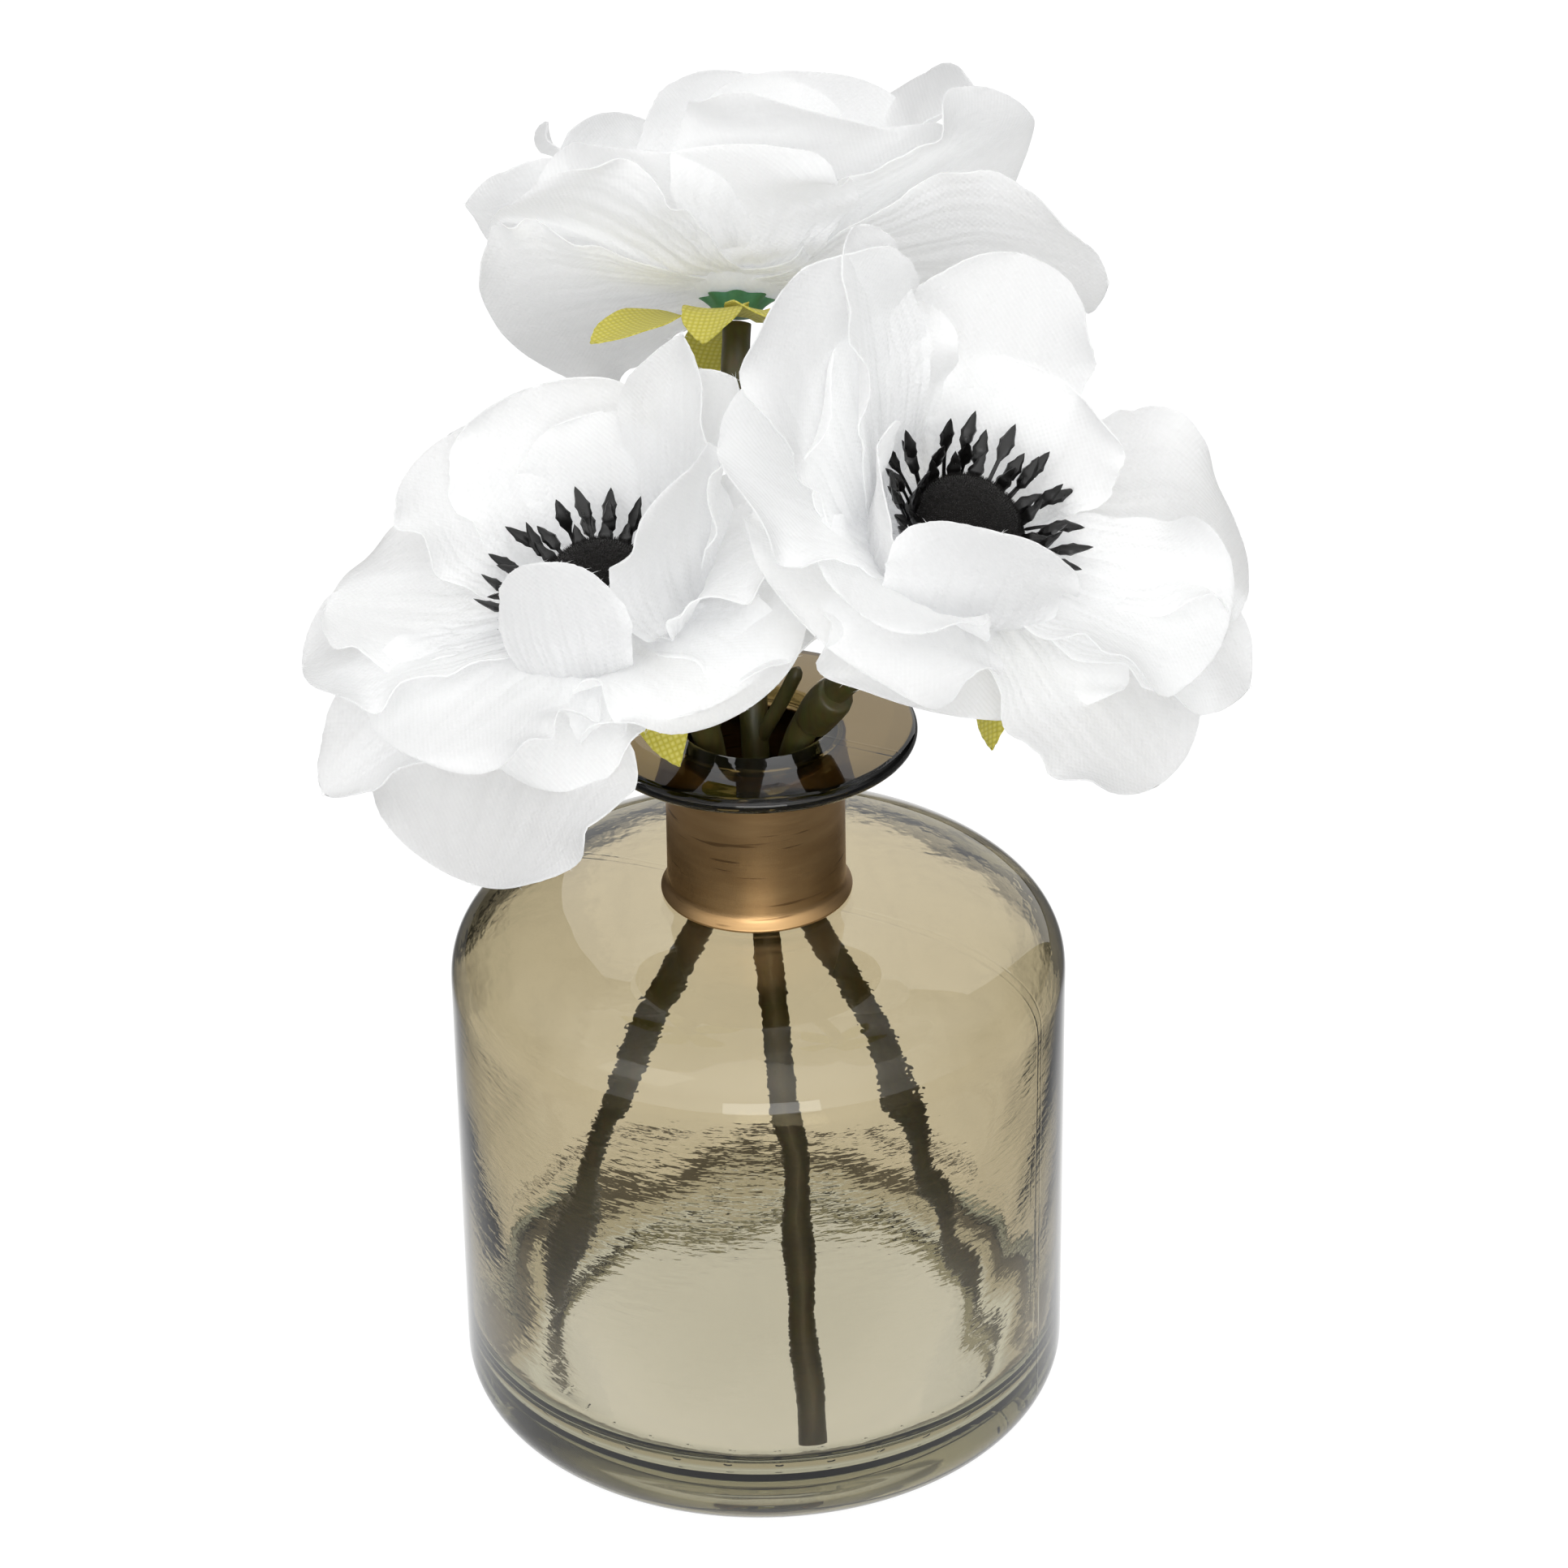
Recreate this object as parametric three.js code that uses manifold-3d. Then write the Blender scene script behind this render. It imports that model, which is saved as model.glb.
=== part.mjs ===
// Anemone bouquet: three white fabric blooms on plastic stems, standing in a
// smoked-glass bottle vase with a copper collar. Units are millimetres, +Z is up,
// the origin is the centre of the vase base on the table.
import * as THREE from "three";
import { mergeVertices } from "three/addons/utils/BufferGeometryUtils.js";
import Module from "manifold-3d";

const wasm = await Module();
wasm.setup();

// Driving dimensions of the vase
const BODY_RADIUS = 52.5;
const FOOT_ROUNDING = 9;
const SHOULDER_START = 82;
const SHOULDER_TOP = 98;
const NECK_RADIUS = 13.5;
const BORE_RADIUS = 11.6;
const WALL = 2.6;
const FLOOR = 9;
const LIP_RADIUS = 27.3;
const LIP_UNDERSIDE = 127.1;
const VASE_HEIGHT = 130;
const VASE_SIDES = 26;
const COLLAR_RADIUS = 15.15;
const COLLAR_FLARE = 1.1;

// Driving dimensions of a bloom, measured along its own axis
const BLADE = 0.7;
const LONG_ROWS = 5;
const SHORT_ROWS = 4;
const SHORT = 61;
const BLADE_COLUMNS = 4;
const HUB_RADIUS = 8.5;
const HUB_TOP = 1.2;
const HUB_BOTTOM = -4.6;
const DISC_RADIUS = 8;
const DISC_HEIGHT = 6;
const PLATE_RADIUS = 9.9;
const PLATE_HEIGHT = 0.8;
const STAMENS = 13;
const STAMEN_LENGTH = 11.5;
const RING_RADIUS = 7;
const CALYX_RADIUS = 5;
const CALYX_HEIGHT = 3;
const STEM_RADIUS = 2.5;
const STUB_RADIUS = 1.25;
const GAP = 0.3;

const rad = THREE.MathUtils.degToRad;
const ease = (x) => THREE.MathUtils.smoothstep(x, 0, 1);

const finishes = {
  glass: { color: 0xb9ad8c, roughness: 0.05, metalness: 0, transparent: true, opacity: 0.5 },
  copper: { color: 0x9a7446, roughness: 0.35, metalness: 1 },
  stem: { color: 0x4e4729, roughness: 0.5, metalness: 0 },
  petal: { color: 0xf7f7f8, roughness: 0.85, metalness: 0 },
  flock: { color: 0x131211, roughness: 0.95, metalness: 0 },
  stamen: { color: 0x0e0e0e, roughness: 0.25, metalness: 0 },
  sepal: { color: 0xd2cc6d, roughness: 0.85, metalness: 0 },
  calyx: { color: 0x4f8a6c, roughness: 0.55, metalness: 0 },
};

const group = new THREE.Group();

function add(name, geometry, finish, parent = group) {
  const mesh = new THREE.Mesh(geometry, new THREE.MeshStandardMaterial(finishes[finish]));
  mesh.name = name;
  parent.add(mesh);
}

// Solid joining: only positions are kept, so that touching corners are shared
function toSolid(geometry) {
  const bare = new THREE.BufferGeometry();
  bare.setAttribute("position", geometry.getAttribute("position").clone());
  if (geometry.index) bare.setIndex(geometry.index.clone());
  const welded = mergeVertices(bare, 1e-4);
  const triVerts = [];
  const index = welded.index.array;
  for (let i = 0; i < index.length; i += 3) {
    const [a, b, c] = [index[i], index[i + 1], index[i + 2]];
    if (a !== b && b !== c && c !== a) triVerts.push(a, b, c);
  }
  return new wasm.Manifold(new wasm.Mesh({
    numProp: 3,
    vertProperties: Float32Array.from(welded.getAttribute("position").array),
    triVerts: Uint32Array.from(triVerts),
  }));
}

function toGeometry(solid) {
  const { vertProperties, triVerts } = solid.getMesh();
  const geometry = new THREE.BufferGeometry();
  geometry.setAttribute("position", new THREE.BufferAttribute(vertProperties.slice(), 3));
  geometry.setIndex(new THREE.BufferAttribute(triVerts.slice(), 1));
  geometry.computeVertexNormals();
  return geometry;
}

// Joins the pieces into one body; pockets closed by the joining are filled
function fuse(geometries) {
  const joined = wasm.Manifold.union(geometries.map(toSolid));
  const bodies = joined.decompose().sort((a, b) => b.volume() - a.volume());
  return toGeometry(bodies[0]);
}

const lathe = (profile, sides) =>
  new THREE.LatheGeometry(profile.map(([r, z]) => new THREE.Vector2(r, z)), sides)
    .rotateX(Math.PI / 2);

const pillar = (radius, bottom, top, sides = 10) =>
  lathe([[0, bottom], [radius, bottom], [radius, top], [0, top]], sides);

// Round bar along a smooth curve through the given points
function bar(points, radius, steps, sides = 10) {
  const curve = new THREE.CatmullRomCurve3(points.map((p) => new THREE.Vector3(...p)));
  const section = new THREE.Shape();
  for (let k = 0; k < sides; k += 1) {
    const a = (2 * Math.PI * k) / sides;
    const [x, y] = [radius * Math.cos(a), radius * Math.sin(a)];
    if (k === 0) section.moveTo(x, y);
    else section.lineTo(x, y);
  }
  return new THREE.ExtrudeGeometry(section, { steps, extrudePath: curve, curveSegments: sides });
}

// Vase: straight wall, rounded foot, superellipse shoulder, narrow neck, flat lip
function shoulder(offset, steps) {
  const points = [];
  const reach = BODY_RADIUS - NECK_RADIUS;
  const rise = SHOULDER_TOP - SHOULDER_START;
  for (let k = 0; k <= steps; k += 1) {
    const t = (Math.PI / 2) * (k / steps);
    const r = NECK_RADIUS + reach * Math.cos(t) ** 0.8;
    const z = SHOULDER_START + rise * Math.sin(t) ** 0.8;
    points.push([r - offset, z - offset]);
  }
  return points;
}

function footCurve(radius, z, rounding, steps) {
  const points = [];
  for (let k = 0; k <= steps; k += 1) {
    const a = (Math.PI / 2) * (k / steps);
    points.push([radius - rounding * (1 - Math.sin(a)), z + rounding * (1 - Math.cos(a))]);
  }
  return points;
}

const outerProfile = [
  [0, 0],
  ...footCurve(BODY_RADIUS, 0, FOOT_ROUNDING, 4),
  ...shoulder(0, 6),
  [NECK_RADIUS, LIP_UNDERSIDE - 1],
  [NECK_RADIUS + 2.2, LIP_UNDERSIDE],
  [LIP_RADIUS - 1, LIP_UNDERSIDE + 0.2],
  [LIP_RADIUS, (LIP_UNDERSIDE + VASE_HEIGHT) / 2],
  [LIP_RADIUS - 1, VASE_HEIGHT],
];
const innerProfile = [
  [0, FLOOR],
  ...footCurve(BODY_RADIUS - WALL, FLOOR, 4, 1),
  ...shoulder(WALL, 4).slice(0, -1),
  [BORE_RADIUS, SHOULDER_TOP - WALL],
  [BORE_RADIUS, VASE_HEIGHT - 3],
  [BORE_RADIUS + 2.4, VASE_HEIGHT - 0.6],
];
add("glass_bottle", lathe([...outerProfile, ...innerProfile.reverse()], VASE_SIDES), "glass");

const collarInner = NECK_RADIUS + GAP;
const collarTop = LIP_UNDERSIDE - 1.3;
const collarBottom = SHOULDER_TOP + GAP;
const collarProfile = [
  [collarInner, collarBottom],
  [COLLAR_RADIUS + COLLAR_FLARE, collarBottom],
  [COLLAR_RADIUS + COLLAR_FLARE * 0.6, collarBottom + 1],
  [COLLAR_RADIUS, collarBottom + 2.2],
  [COLLAR_RADIUS, collarTop],
  [collarInner, collarTop],
  [collarInner, collarBottom],
];
add("copper_collar", lathe(collarProfile, VASE_SIDES), "copper");

// Petal blades. The midrib leaves the hub flat, turns up at the knee and bends along
// its length; across the blade an angle grows from the midrib to the rim (cup), with
// ruffles that run along the rim. Angles in degrees, lengths in millimetres.
const PETAL = {
  az: 0, len: 48, wid: 40, rise: 30, bend: -20, power: 1, knee: 8, flat: -2, seat: 0,
  rim: 0, twist: 0, cup: 25, ruffle: 0, waves: 1.5, phase: 0, full: 0.62, tip: 0, base: 0.25,
};
const SEPAL = {
  wid: 10, bend: -12, knee: 9, flat: -1, cup: 18, ruffle: 8, full: 0.5, tip: 0.8, base: 0.5,
};
const MIDRIB_START = 2.5;
const ROOT_DEPTH = 3.8;
const MIDRIB_STEPS = 120;
const RIM_STEPS = 12;

function midrib(p) {
  const slope = (u) => rad(
    p.flat + (p.rise - p.flat) * ease((u * p.len - p.knee + 3) / 6)
    + p.bend * u ** p.power + p.rim * ease((u - 0.72) / 0.28),
  );
  const points = [{ r: MIDRIB_START, z: p.seat, a: slope(0) }];
  const step = p.len / MIDRIB_STEPS;
  for (let k = 1; k <= MIDRIB_STEPS; k += 1) {
    const last = points[k - 1];
    const a = slope(k / MIDRIB_STEPS);
    points.push({
      r: last.r + (step * (Math.cos(last.a) + Math.cos(a))) / 2,
      z: last.z + (step * (Math.sin(last.a) + Math.sin(a))) / 2,
      a,
    });
  }
  return (u) => {
    const f = Math.min(u * MIDRIB_STEPS, MIDRIB_STEPS - 1e-9);
    const k = Math.floor(f);
    const mix = (key) => THREE.MathUtils.lerp(points[k][key], points[k + 1][key], f - k);
    return { r: mix("r"), z: mix("z"), a: mix("a") };
  };
}

function halfWidth(p, u) {
  const beyond = (u - p.full) / (1 - p.full);
  const outline = u >= p.full
    ? Math.max(1 - beyond ** 2, 0) ** (0.5 + 0.5 * p.tip)
    : p.base + (1 - p.base) * Math.sin((Math.PI / 2) * (u / p.full)) ** 1.25;
  return (p.wid / 2) * Math.max(outline, 0.08);
}

function blade(spec, rows, columns) {
  const p = { ...PETAL, ...spec };
  const rib = midrib(p);
  const az = rad(p.az);
  const first = ROOT_DEPTH / p.len;
  const outward = new THREE.Vector3(Math.cos(az), Math.sin(az), 0);
  const across = new THREE.Vector3(-Math.sin(az), Math.cos(az), 0);
  const surface = [];
  for (let i = 0; i <= rows; i += 1) {
    const u = THREE.MathUtils.lerp(first, 1, Math.sin((Math.PI / 2) * (i / rows)) ** 1.45);
    const { r, z, a } = rib(u);
    const normal = outward.clone().multiplyScalar(-Math.sin(a));
    normal.z = Math.cos(a);
    const turn = rad(p.twist * u);
    const [c, s] = [Math.cos(turn), Math.sin(turn)];
    const side = across.clone().multiplyScalar(c).addScaledVector(normal, s);
    const lift = normal.multiplyScalar(c).addScaledVector(across, -s);
    const half = halfWidth(p, u);
    const grow = ease((u - 0.15) / 0.6);
    const cup = p.cup * ease((u - 0.06) / 0.32);
    const row = [];
    for (let j = 0; j <= columns; j += 1) {
      const v = (2 * j) / columns - 1;
      const hand = Math.sign(v) || 1;
      const wave = Math.sin(2 * Math.PI * p.waves * u + rad(p.phase) + (hand > 0 ? 0 : 2.1));
      const angle = (w) => rad(cup * w + p.ruffle * grow * wave * w ** 1.3);
      let along = 0;
      let above = 0;
      const step = Math.abs(v) / RIM_STEPS;
      for (let k = 0; k < RIM_STEPS; k += 1) {
        const w = angle((k + 0.5) * step);
        along += step * Math.cos(w);
        above += step * Math.sin(w);
      }
      row.push(outward.clone().multiplyScalar(r).setZ(z)
        .addScaledVector(side, half * along * hand)
        .addScaledVector(lift, half * above));
    }
    surface.push(row);
  }
  return thicken(surface, BLADE);
}

// Closes a grid of points into a sheet of even thickness
function thicken(surface, thickness) {
  const rows = surface.length;
  const columns = surface[0].length;
  const faces = [[], []];
  const e = new THREE.Vector3();
  const f = new THREE.Vector3();
  for (let i = 0; i < rows; i += 1) {
    for (let j = 0; j < columns; j += 1) {
      e.subVectors(surface[Math.min(i + 1, rows - 1)][j], surface[Math.max(i - 1, 0)][j]);
      f.subVectors(surface[i][Math.min(j + 1, columns - 1)], surface[i][Math.max(j - 1, 0)]);
      const n = e.clone().cross(f).normalize().multiplyScalar(thickness / 2);
      faces[0].push(surface[i][j].clone().add(n));
      faces[1].push(surface[i][j].clone().sub(n));
    }
  }
  const count = rows * columns;
  const at = (layer, i, j) => layer * count + i * columns + j;
  const index = [];
  const quad = (a, b, c, d) => index.push(a, b, c, a, c, d);
  for (let i = 0; i < rows - 1; i += 1) {
    for (let j = 0; j < columns - 1; j += 1) {
      const [a, b, c, d] = [[i, j], [i + 1, j], [i + 1, j + 1], [i, j + 1]];
      quad(at(0, ...a), at(0, ...b), at(0, ...c), at(0, ...d));
      quad(at(1, ...d), at(1, ...c), at(1, ...b), at(1, ...a));
    }
  }
  for (let i = 0; i < rows - 1; i += 1) {
    quad(at(0, i, 0), at(1, i, 0), at(1, i + 1, 0), at(0, i + 1, 0));
    const j = columns - 1;
    quad(at(0, i, j), at(0, i + 1, j), at(1, i + 1, j), at(1, i, j));
  }
  for (let j = 0; j < columns - 1; j += 1) {
    quad(at(0, 0, j), at(0, 0, j + 1), at(1, 0, j + 1), at(1, 0, j));
    const i = rows - 1;
    quad(at(0, i, j), at(1, i, j), at(1, i, j + 1), at(0, i, j + 1));
  }
  const geometry = new THREE.BufferGeometry();
  const points = [...faces[0], ...faces[1]].flatMap((p) => [p.x, p.y, p.z]);
  geometry.setAttribute("position", new THREE.Float32BufferAttribute(points, 3));
  geometry.setIndex(index);
  return geometry;
}

// One bud: thin filament, fuller pointed head, leaning out from the plate
function stamen(az, lean, length) {
  const profile = [[0, 0], [0.5, 0], [1.1, 0.7], [0, 1]];
  const bud = lathe(profile.map(([r, t]) => [r, t * length]), 4);
  bud.rotateY(rad(90 - lean));
  bud.translate(PLATE_RADIUS - 0.6, 0, HUB_TOP + GAP + PLATE_HEIGHT / 2);
  return bud.rotateZ(az);
}

// Petals, sepals and stamens of the three blooms. Azimuth 0 points right, 90 to the
// back, 180 left and 270 to the front of the bouquet. The stamens lean from the first
// angle down to the second on the open side, where no steep petal stands.
const blooms = {
  left: {
    centre: [-24.2, -20, 164.5],
    axis: [-0.2, -0.12, 0.97],
    petals: [
      {
        az: 185, len: 47, wid: 38, rise: 10, bend: -14, cup: 14,
        ruffle: 16, seat: -1, twist: 6, full: 0.66, phase: 200,
      },
      {
        az: 167, len: 44, wid: 40, rise: 16, bend: -14,
        cup: 14, ruffle: 16, seat: -2.4, full: 0.68, phase: 320,
      },
      {
        az: 129, len: 40, wid: 37, rise: 46, bend: -8, cup: 20,
        ruffle: 16, seat: -1, knee: 11, full: 0.7, phase: 90,
      },
      {
        az: 101, len: 41, wid: 38, rise: 58, bend: -6, cup: 22,
        ruffle: 14, seat: -2, knee: 11, full: 0.7, phase: 150,
      },
      {
        az: 80, len: 34, wid: 30, rise: 62, bend: 4, cup: 24,
        ruffle: 16, seat: -0.8, knee: 12, full: 0.72, phase: 250,
      },
      {
        az: 38, len: 51, wid: 26, rise: 77, bend: -6, cup: 32,
        ruffle: 20, seat: -1.2, tip: 0.8, knee: 13, full: 0.6,
      },
      {
        az: 22, len: 46, wid: 30, rise: 64, bend: -4, cup: 34,
        ruffle: 16, seat: -2.4, knee: 11, full: 0.7, phase: 300,
      },
      {
        az: 336, len: 42, wid: 34, rise: 96, bend: -24, cup: 20,
        ruffle: 18, seat: -0.8, knee: 14, full: 0.72, twist: -12,
      },
      {
        az: 352, len: 36, wid: 34, rise: 82, bend: -96, power: 1.5,
        cup: 22, ruffle: 24, seat: -2, knee: 12, phase: 60,
      },
      {
        az: 308, len: 36, wid: 42, rise: 50, bend: -80,
        cup: 18, ruffle: 24, seat: -1.5, rim: -25, knee: 11,
      },
      {
        az: 343, len: 36, wid: 38, rise: 14, bend: -28,
        cup: 15, ruffle: 20, seat: -3.5, full: 0.68, phase: 140,
      },
      {
        az: 298, len: 33, wid: 38, rise: 40, bend: -60, cup: 6,
        ruffle: 24, seat: -1, knee: 12, full: 0.7, phase: 150,
      },
      {
        az: 256, len: 36, wid: 28, rise: 16, bend: -48, cup: 0,
        ruffle: 26, seat: -2.6, rim: -26, full: 0.7, phase: 20,
      },
      {
        az: 228, len: 42, wid: 44, rise: 24, bend: -38,
        cup: 2, ruffle: 26, seat: -2, phase: 60, full: 0.68,
      },
      {
        az: 203, len: 52, wid: 26, rise: 6, bend: -34,
        cup: 25, ruffle: 30, seat: -3, twist: -25, tip: 0.4,
      },
      {
        az: 234, len: 49, wid: 52, rise: 0, bend: -52, cup: 10,
        ruffle: 12, seat: -4, twist: 6, full: 0.68, phase: 330,
      },
      {
        az: 258, len: 41, wid: 22, rise: 99, bend: -10,
        cup: 24, ruffle: 4, seat: -1.2, knee: 18, full: 0.66,
      },
    ],
    sepals: [
      { az: 292, len: 25, rise: -46 },
      { az: 20, len: 22, rise: -36 },
      { az: 92, len: 22, rise: -30 },
      { az: 165, len: 22, rise: -34 },
      { az: 236, len: 22, rise: -44 },
    ],
    openSide: 190,
    lean: [52, 12],
  },
  right: {
    centre: [33, -34, 181.5],
    axis: [0.25, -0.35, 0.9],
    petals: [
      {
        az: 276, len: 28, wid: 52, rise: 6, bend: -34, cup: 6,
        ruffle: 18, seat: -3, twist: -8, full: 0.66, phase: 40,
      },
      {
        az: 228, len: 32, wid: 48, rise: 36, bend: -50, cup: 12,
        ruffle: 22, seat: -2, rim: -12, full: 0.68, phase: 110,
      },
      {
        az: 315, len: 47, wid: 36, rise: 0, bend: -20,
        cup: 12, ruffle: 14, seat: -4, full: 0.7, phase: 200,
      },
      {
        az: 342, len: 49, wid: 32, rise: 9, bend: -25,
        cup: 18, ruffle: 25, seat: -3.2, full: 0.62, tip: 0.3,
      },
      {
        az: 14, len: 49, wid: 44, rise: 26, bend: -42, cup: 12,
        ruffle: 26, seat: -2, rim: -24, tip: 0.3, phase: 20,
      },
      {
        az: 84, len: 48, wid: 31, rise: 57, bend: -8, cup: 20,
        ruffle: 18, seat: -2, twist: -10, knee: 11, full: 0.7, phase: 270,
      },
      {
        az: 62, len: 31, wid: 34, rise: 50, bend: 5, cup: 22,
        ruffle: 18, seat: -1, knee: 11, full: 0.72, phase: 150,
      },
      {
        az: 154, len: 45, wid: 40, rise: 74, bend: -12, cup: 28,
        ruffle: 20, seat: -1, twist: -14, knee: 13, full: 0.72, phase: 320,
      },
      {
        az: 150, len: 62, wid: 24, rise: 72, bend: -8, cup: 35,
        ruffle: 22, seat: -2, full: 0.6, knee: 11, phase: 90,
      },
      {
        az: 184, len: 44, wid: 38, rise: 54, bend: -38, cup: 22,
        ruffle: 24, seat: -1.6, rim: -15, knee: 11, full: 0.68, phase: 210,
      },
      {
        az: 338, len: 42, wid: 38, rise: 22, bend: -26,
        cup: 20, ruffle: 34, seat: -1.2, full: 0.68,
      },
      {
        az: 200, len: 39, wid: 22, rise: 90, bend: -18,
        cup: 30, seat: -0.8, knee: 13, full: 0.75, twist: -30,
      },
      {
        az: 236, len: 36, wid: 32, rise: 76, bend: -70, power: 1.3,
        cup: 22, ruffle: 22, seat: -0.8, knee: 13, phase: 60,
      },
      {
        az: 268, len: 40, wid: 30, rise: 97, bend: -12, cup: 14,
        ruffle: 20, seat: -1, knee: 16, full: 0.7, phase: 180,
      },
      {
        az: 164, len: 61, wid: 40, rise: 68, bend: -10, cup: 20,
        ruffle: 20, seat: -2.6, twist: -35, knee: 11, full: 0.7, phase: 130,
      },
    ],
    sepals: [
      { az: 303, len: 31, rise: -52, bend: -14 },
      { az: 350, len: 22, rise: -40 },
      { az: 62, len: 22, rise: -30 },
      { az: 134, len: 22, rise: -30 },
      { az: 212, len: 18, rise: -48 },
    ],
    openSide: 10,
    lean: [57, 26],
  },
  top: {
    centre: [-1.4, 38.1, 195],
    axis: [0.04, 0.62, 0.78],
    petals: [
      {
        az: 308, len: 41, wid: 60, rise: 48, bend: -8, cup: 18, ruffle: 30,
        rim: -20, seat: -0.8, base: 0.4, full: 0.7, knee: 12, waves: 1.2, phase: 30,
      },
      {
        az: 212, len: 42, wid: 42, rise: 30, bend: -22, cup: 18,
        ruffle: 18, rim: -12, seat: -2.2, base: 0.4, full: 0.68, knee: 11,
      },
      {
        az: 250, len: 35, wid: 56, rise: 48, bend: -14, cup: 18, ruffle: 22,
        rim: -12, seat: -1.4, base: 0.4, full: 0.68, knee: 12, phase: 200,
      },
      {
        az: 182, len: 45, wid: 34, rise: 24, bend: -10, cup: 25,
        ruffle: 22, seat: -1.4, twist: 15, tip: 0.4, phase: 40,
      },
      {
        az: 162, len: 40, wid: 52, rise: 0, bend: -14, cup: 6,
        ruffle: 12, seat: -3, twist: 22, full: 0.66, phase: 90,
      },
      {
        az: 147, len: 50, wid: 38, rise: 50, bend: 0, cup: 25,
        ruffle: 20, seat: -1, rim: -30, tip: 0.4, knee: 11,
      },
      {
        az: 90, len: 58, wid: 37, rise: 74, bend: -4, cup: 20,
        ruffle: 24, seat: -0.8, knee: 12, full: 0.7, phase: 310,
      },
      {
        az: 64, len: 59, wid: 40, rise: 72, bend: -4, cup: 20,
        ruffle: 26, seat: -1.2, twist: 15, knee: 12, full: 0.7,
      },
      {
        az: 34, len: 60, wid: 46, rise: 66, bend: -8, cup: 20,
        ruffle: 28, seat: -1.8, knee: 11, full: 0.7, phase: 70,
      },
      {
        az: 348, len: 56, wid: 46, rise: 42, bend: -8, cup: 20,
        ruffle: 30, seat: -2.4, base: 0.4, knee: 11, full: 0.7, phase: 160,
      },
      {
        az: 350, len: 60, wid: 44, rise: 16, bend: -28,
        cup: 15, ruffle: 22, seat: -3.2, twist: -30, tip: 0.3,
      },
      {
        az: 120, len: 52, wid: 40, rise: 66, bend: -6, cup: 20,
        ruffle: 24, seat: -1.4, knee: 12, full: 0.7, phase: 230,
      },
    ],
    sepals: [
      { az: 204, len: 25, rise: -10, wid: 13, bend: -20, twist: -40 },
      { az: 252, len: 18, rise: -46, wid: 11 },
      { az: 292, len: 14, rise: -20, wid: 11 },
      { az: 336, len: 18, rise: -30 },
      { az: 110, len: 20, rise: -30 },
    ],
    openSide: 90,
    lean: [76, 70],
  },
};

function along(bloom, distance) {
  const axis = new THREE.Vector3(...bloom.axis).normalize();
  return new THREE.Vector3(...bloom.centre).addScaledVector(axis, distance).toArray();
}

for (const [name, bloom] of Object.entries(blooms)) {
  const head = new THREE.Group();
  const axis = new THREE.Vector3(...bloom.axis).normalize();
  const right = new THREE.Vector3(1, 0, 0).addScaledVector(axis, -axis.x).normalize();
  const back = new THREE.Vector3().crossVectors(axis, right);
  head.quaternion.setFromRotationMatrix(new THREE.Matrix4().makeBasis(right, back, axis));
  head.position.set(...bloom.centre);
  group.add(head);

  const hub = pillar(HUB_RADIUS, HUB_BOTTOM, HUB_TOP);
  const rows = (p) => (p.len < SHORT ? SHORT_ROWS : LONG_ROWS);
  const petals = bloom.petals.map((p) => blade(p, rows(p), BLADE_COLUMNS));
  add(`petals_${name}`, fuse([hub, ...petals]), "petal", head);

  const plateBottom = HUB_TOP + GAP;
  const buds = [];
  for (let k = 0; k < STAMENS; k += 1) {
    const az = (2 * Math.PI * (k + 0.5)) / STAMENS;
    const open = Math.max(Math.cos(az - rad(bloom.openSide)), 0) ** 2;
    const lean = THREE.MathUtils.lerp(bloom.lean[0], bloom.lean[1], open);
    buds.push(stamen(az, lean, STAMEN_LENGTH + (k % 2 ? 0 : -1.5)));
  }
  const plate = pillar(PLATE_RADIUS, plateBottom, plateBottom + PLATE_HEIGHT, STAMENS);
  add(`stamens_${name}`, fuse([plate, ...buds]), "stamen", head);

  const discBottom = plateBottom + PLATE_HEIGHT + GAP;
  const dome = [[0, discBottom], [DISC_RADIUS - 0.8, discBottom]];
  for (const t of [10, 35, 62]) {
    dome.push([
      DISC_RADIUS * Math.cos(rad(t)),
      discBottom + 0.2 + (DISC_HEIGHT - 0.2) * Math.sin(rad(t)),
    ]);
  }
  dome.push([0, discBottom + DISC_HEIGHT]);
  add(`disc_${name}`, lathe(dome, 12), "flock", head);

  const cupTop = HUB_BOTTOM - GAP;
  const cupBottom = cupTop - CALYX_HEIGHT;
  const cup = [
    [0, cupBottom], [STEM_RADIUS + 0.6, cupBottom],
    [CALYX_RADIUS, cupTop - 1.2], [CALYX_RADIUS + 1, cupTop], [0, cupTop],
  ];
  add(`calyx_${name}`, lathe(cup, 12), "calyx", head);

  const sepalSeat = cupBottom - GAP - BLADE / 2;
  const sepals = bloom.sepals.map((s) => blade({ ...SEPAL, seat: sepalSeat, ...s }, 3, 2));
  const ring = pillar(RING_RADIUS, sepalSeat - BLADE / 2 - 0.05, sepalSeat + BLADE / 2);
  add(`sepals_${name}`, fuse([ring, ...sepals]), "sepal", head);
}

// Stems: splayed on the vase floor, side by side in the neck, curved to the blooms
const stemTop = HUB_BOTTOM - 3 * GAP - BLADE - 0.05 - CALYX_HEIGHT;
const stems = {
  left: [[-38, 6, 10.05], [-22, 3, 62], [-7.6, -0.5, 96], [-6.3, -2.4, 118], [-10, -6, 136]],
  right: [[37, 6, 10], [22, 3, 62], [7.3, -1, 96], [5.5, -2.3, 119], [9.2, -6.8, 134]],
  top: [[8, -40, 10.3], [4.5, -18, 60], [0.9, -2, 96], [0.3, 4, 118], [-0.4, 11, 138]],
};
const joint = [[11.2, -9.2, 137], [12.7, -11.2, 140]];
const stubs = {
  left: [[-8, -4, 128], [-5.4, -2, 135], [-3, 0.6, 143]],
  top: [[1, 5, 124], [4.6, 4.6, 131], [7.6, 3.6, 138]],
};
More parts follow.
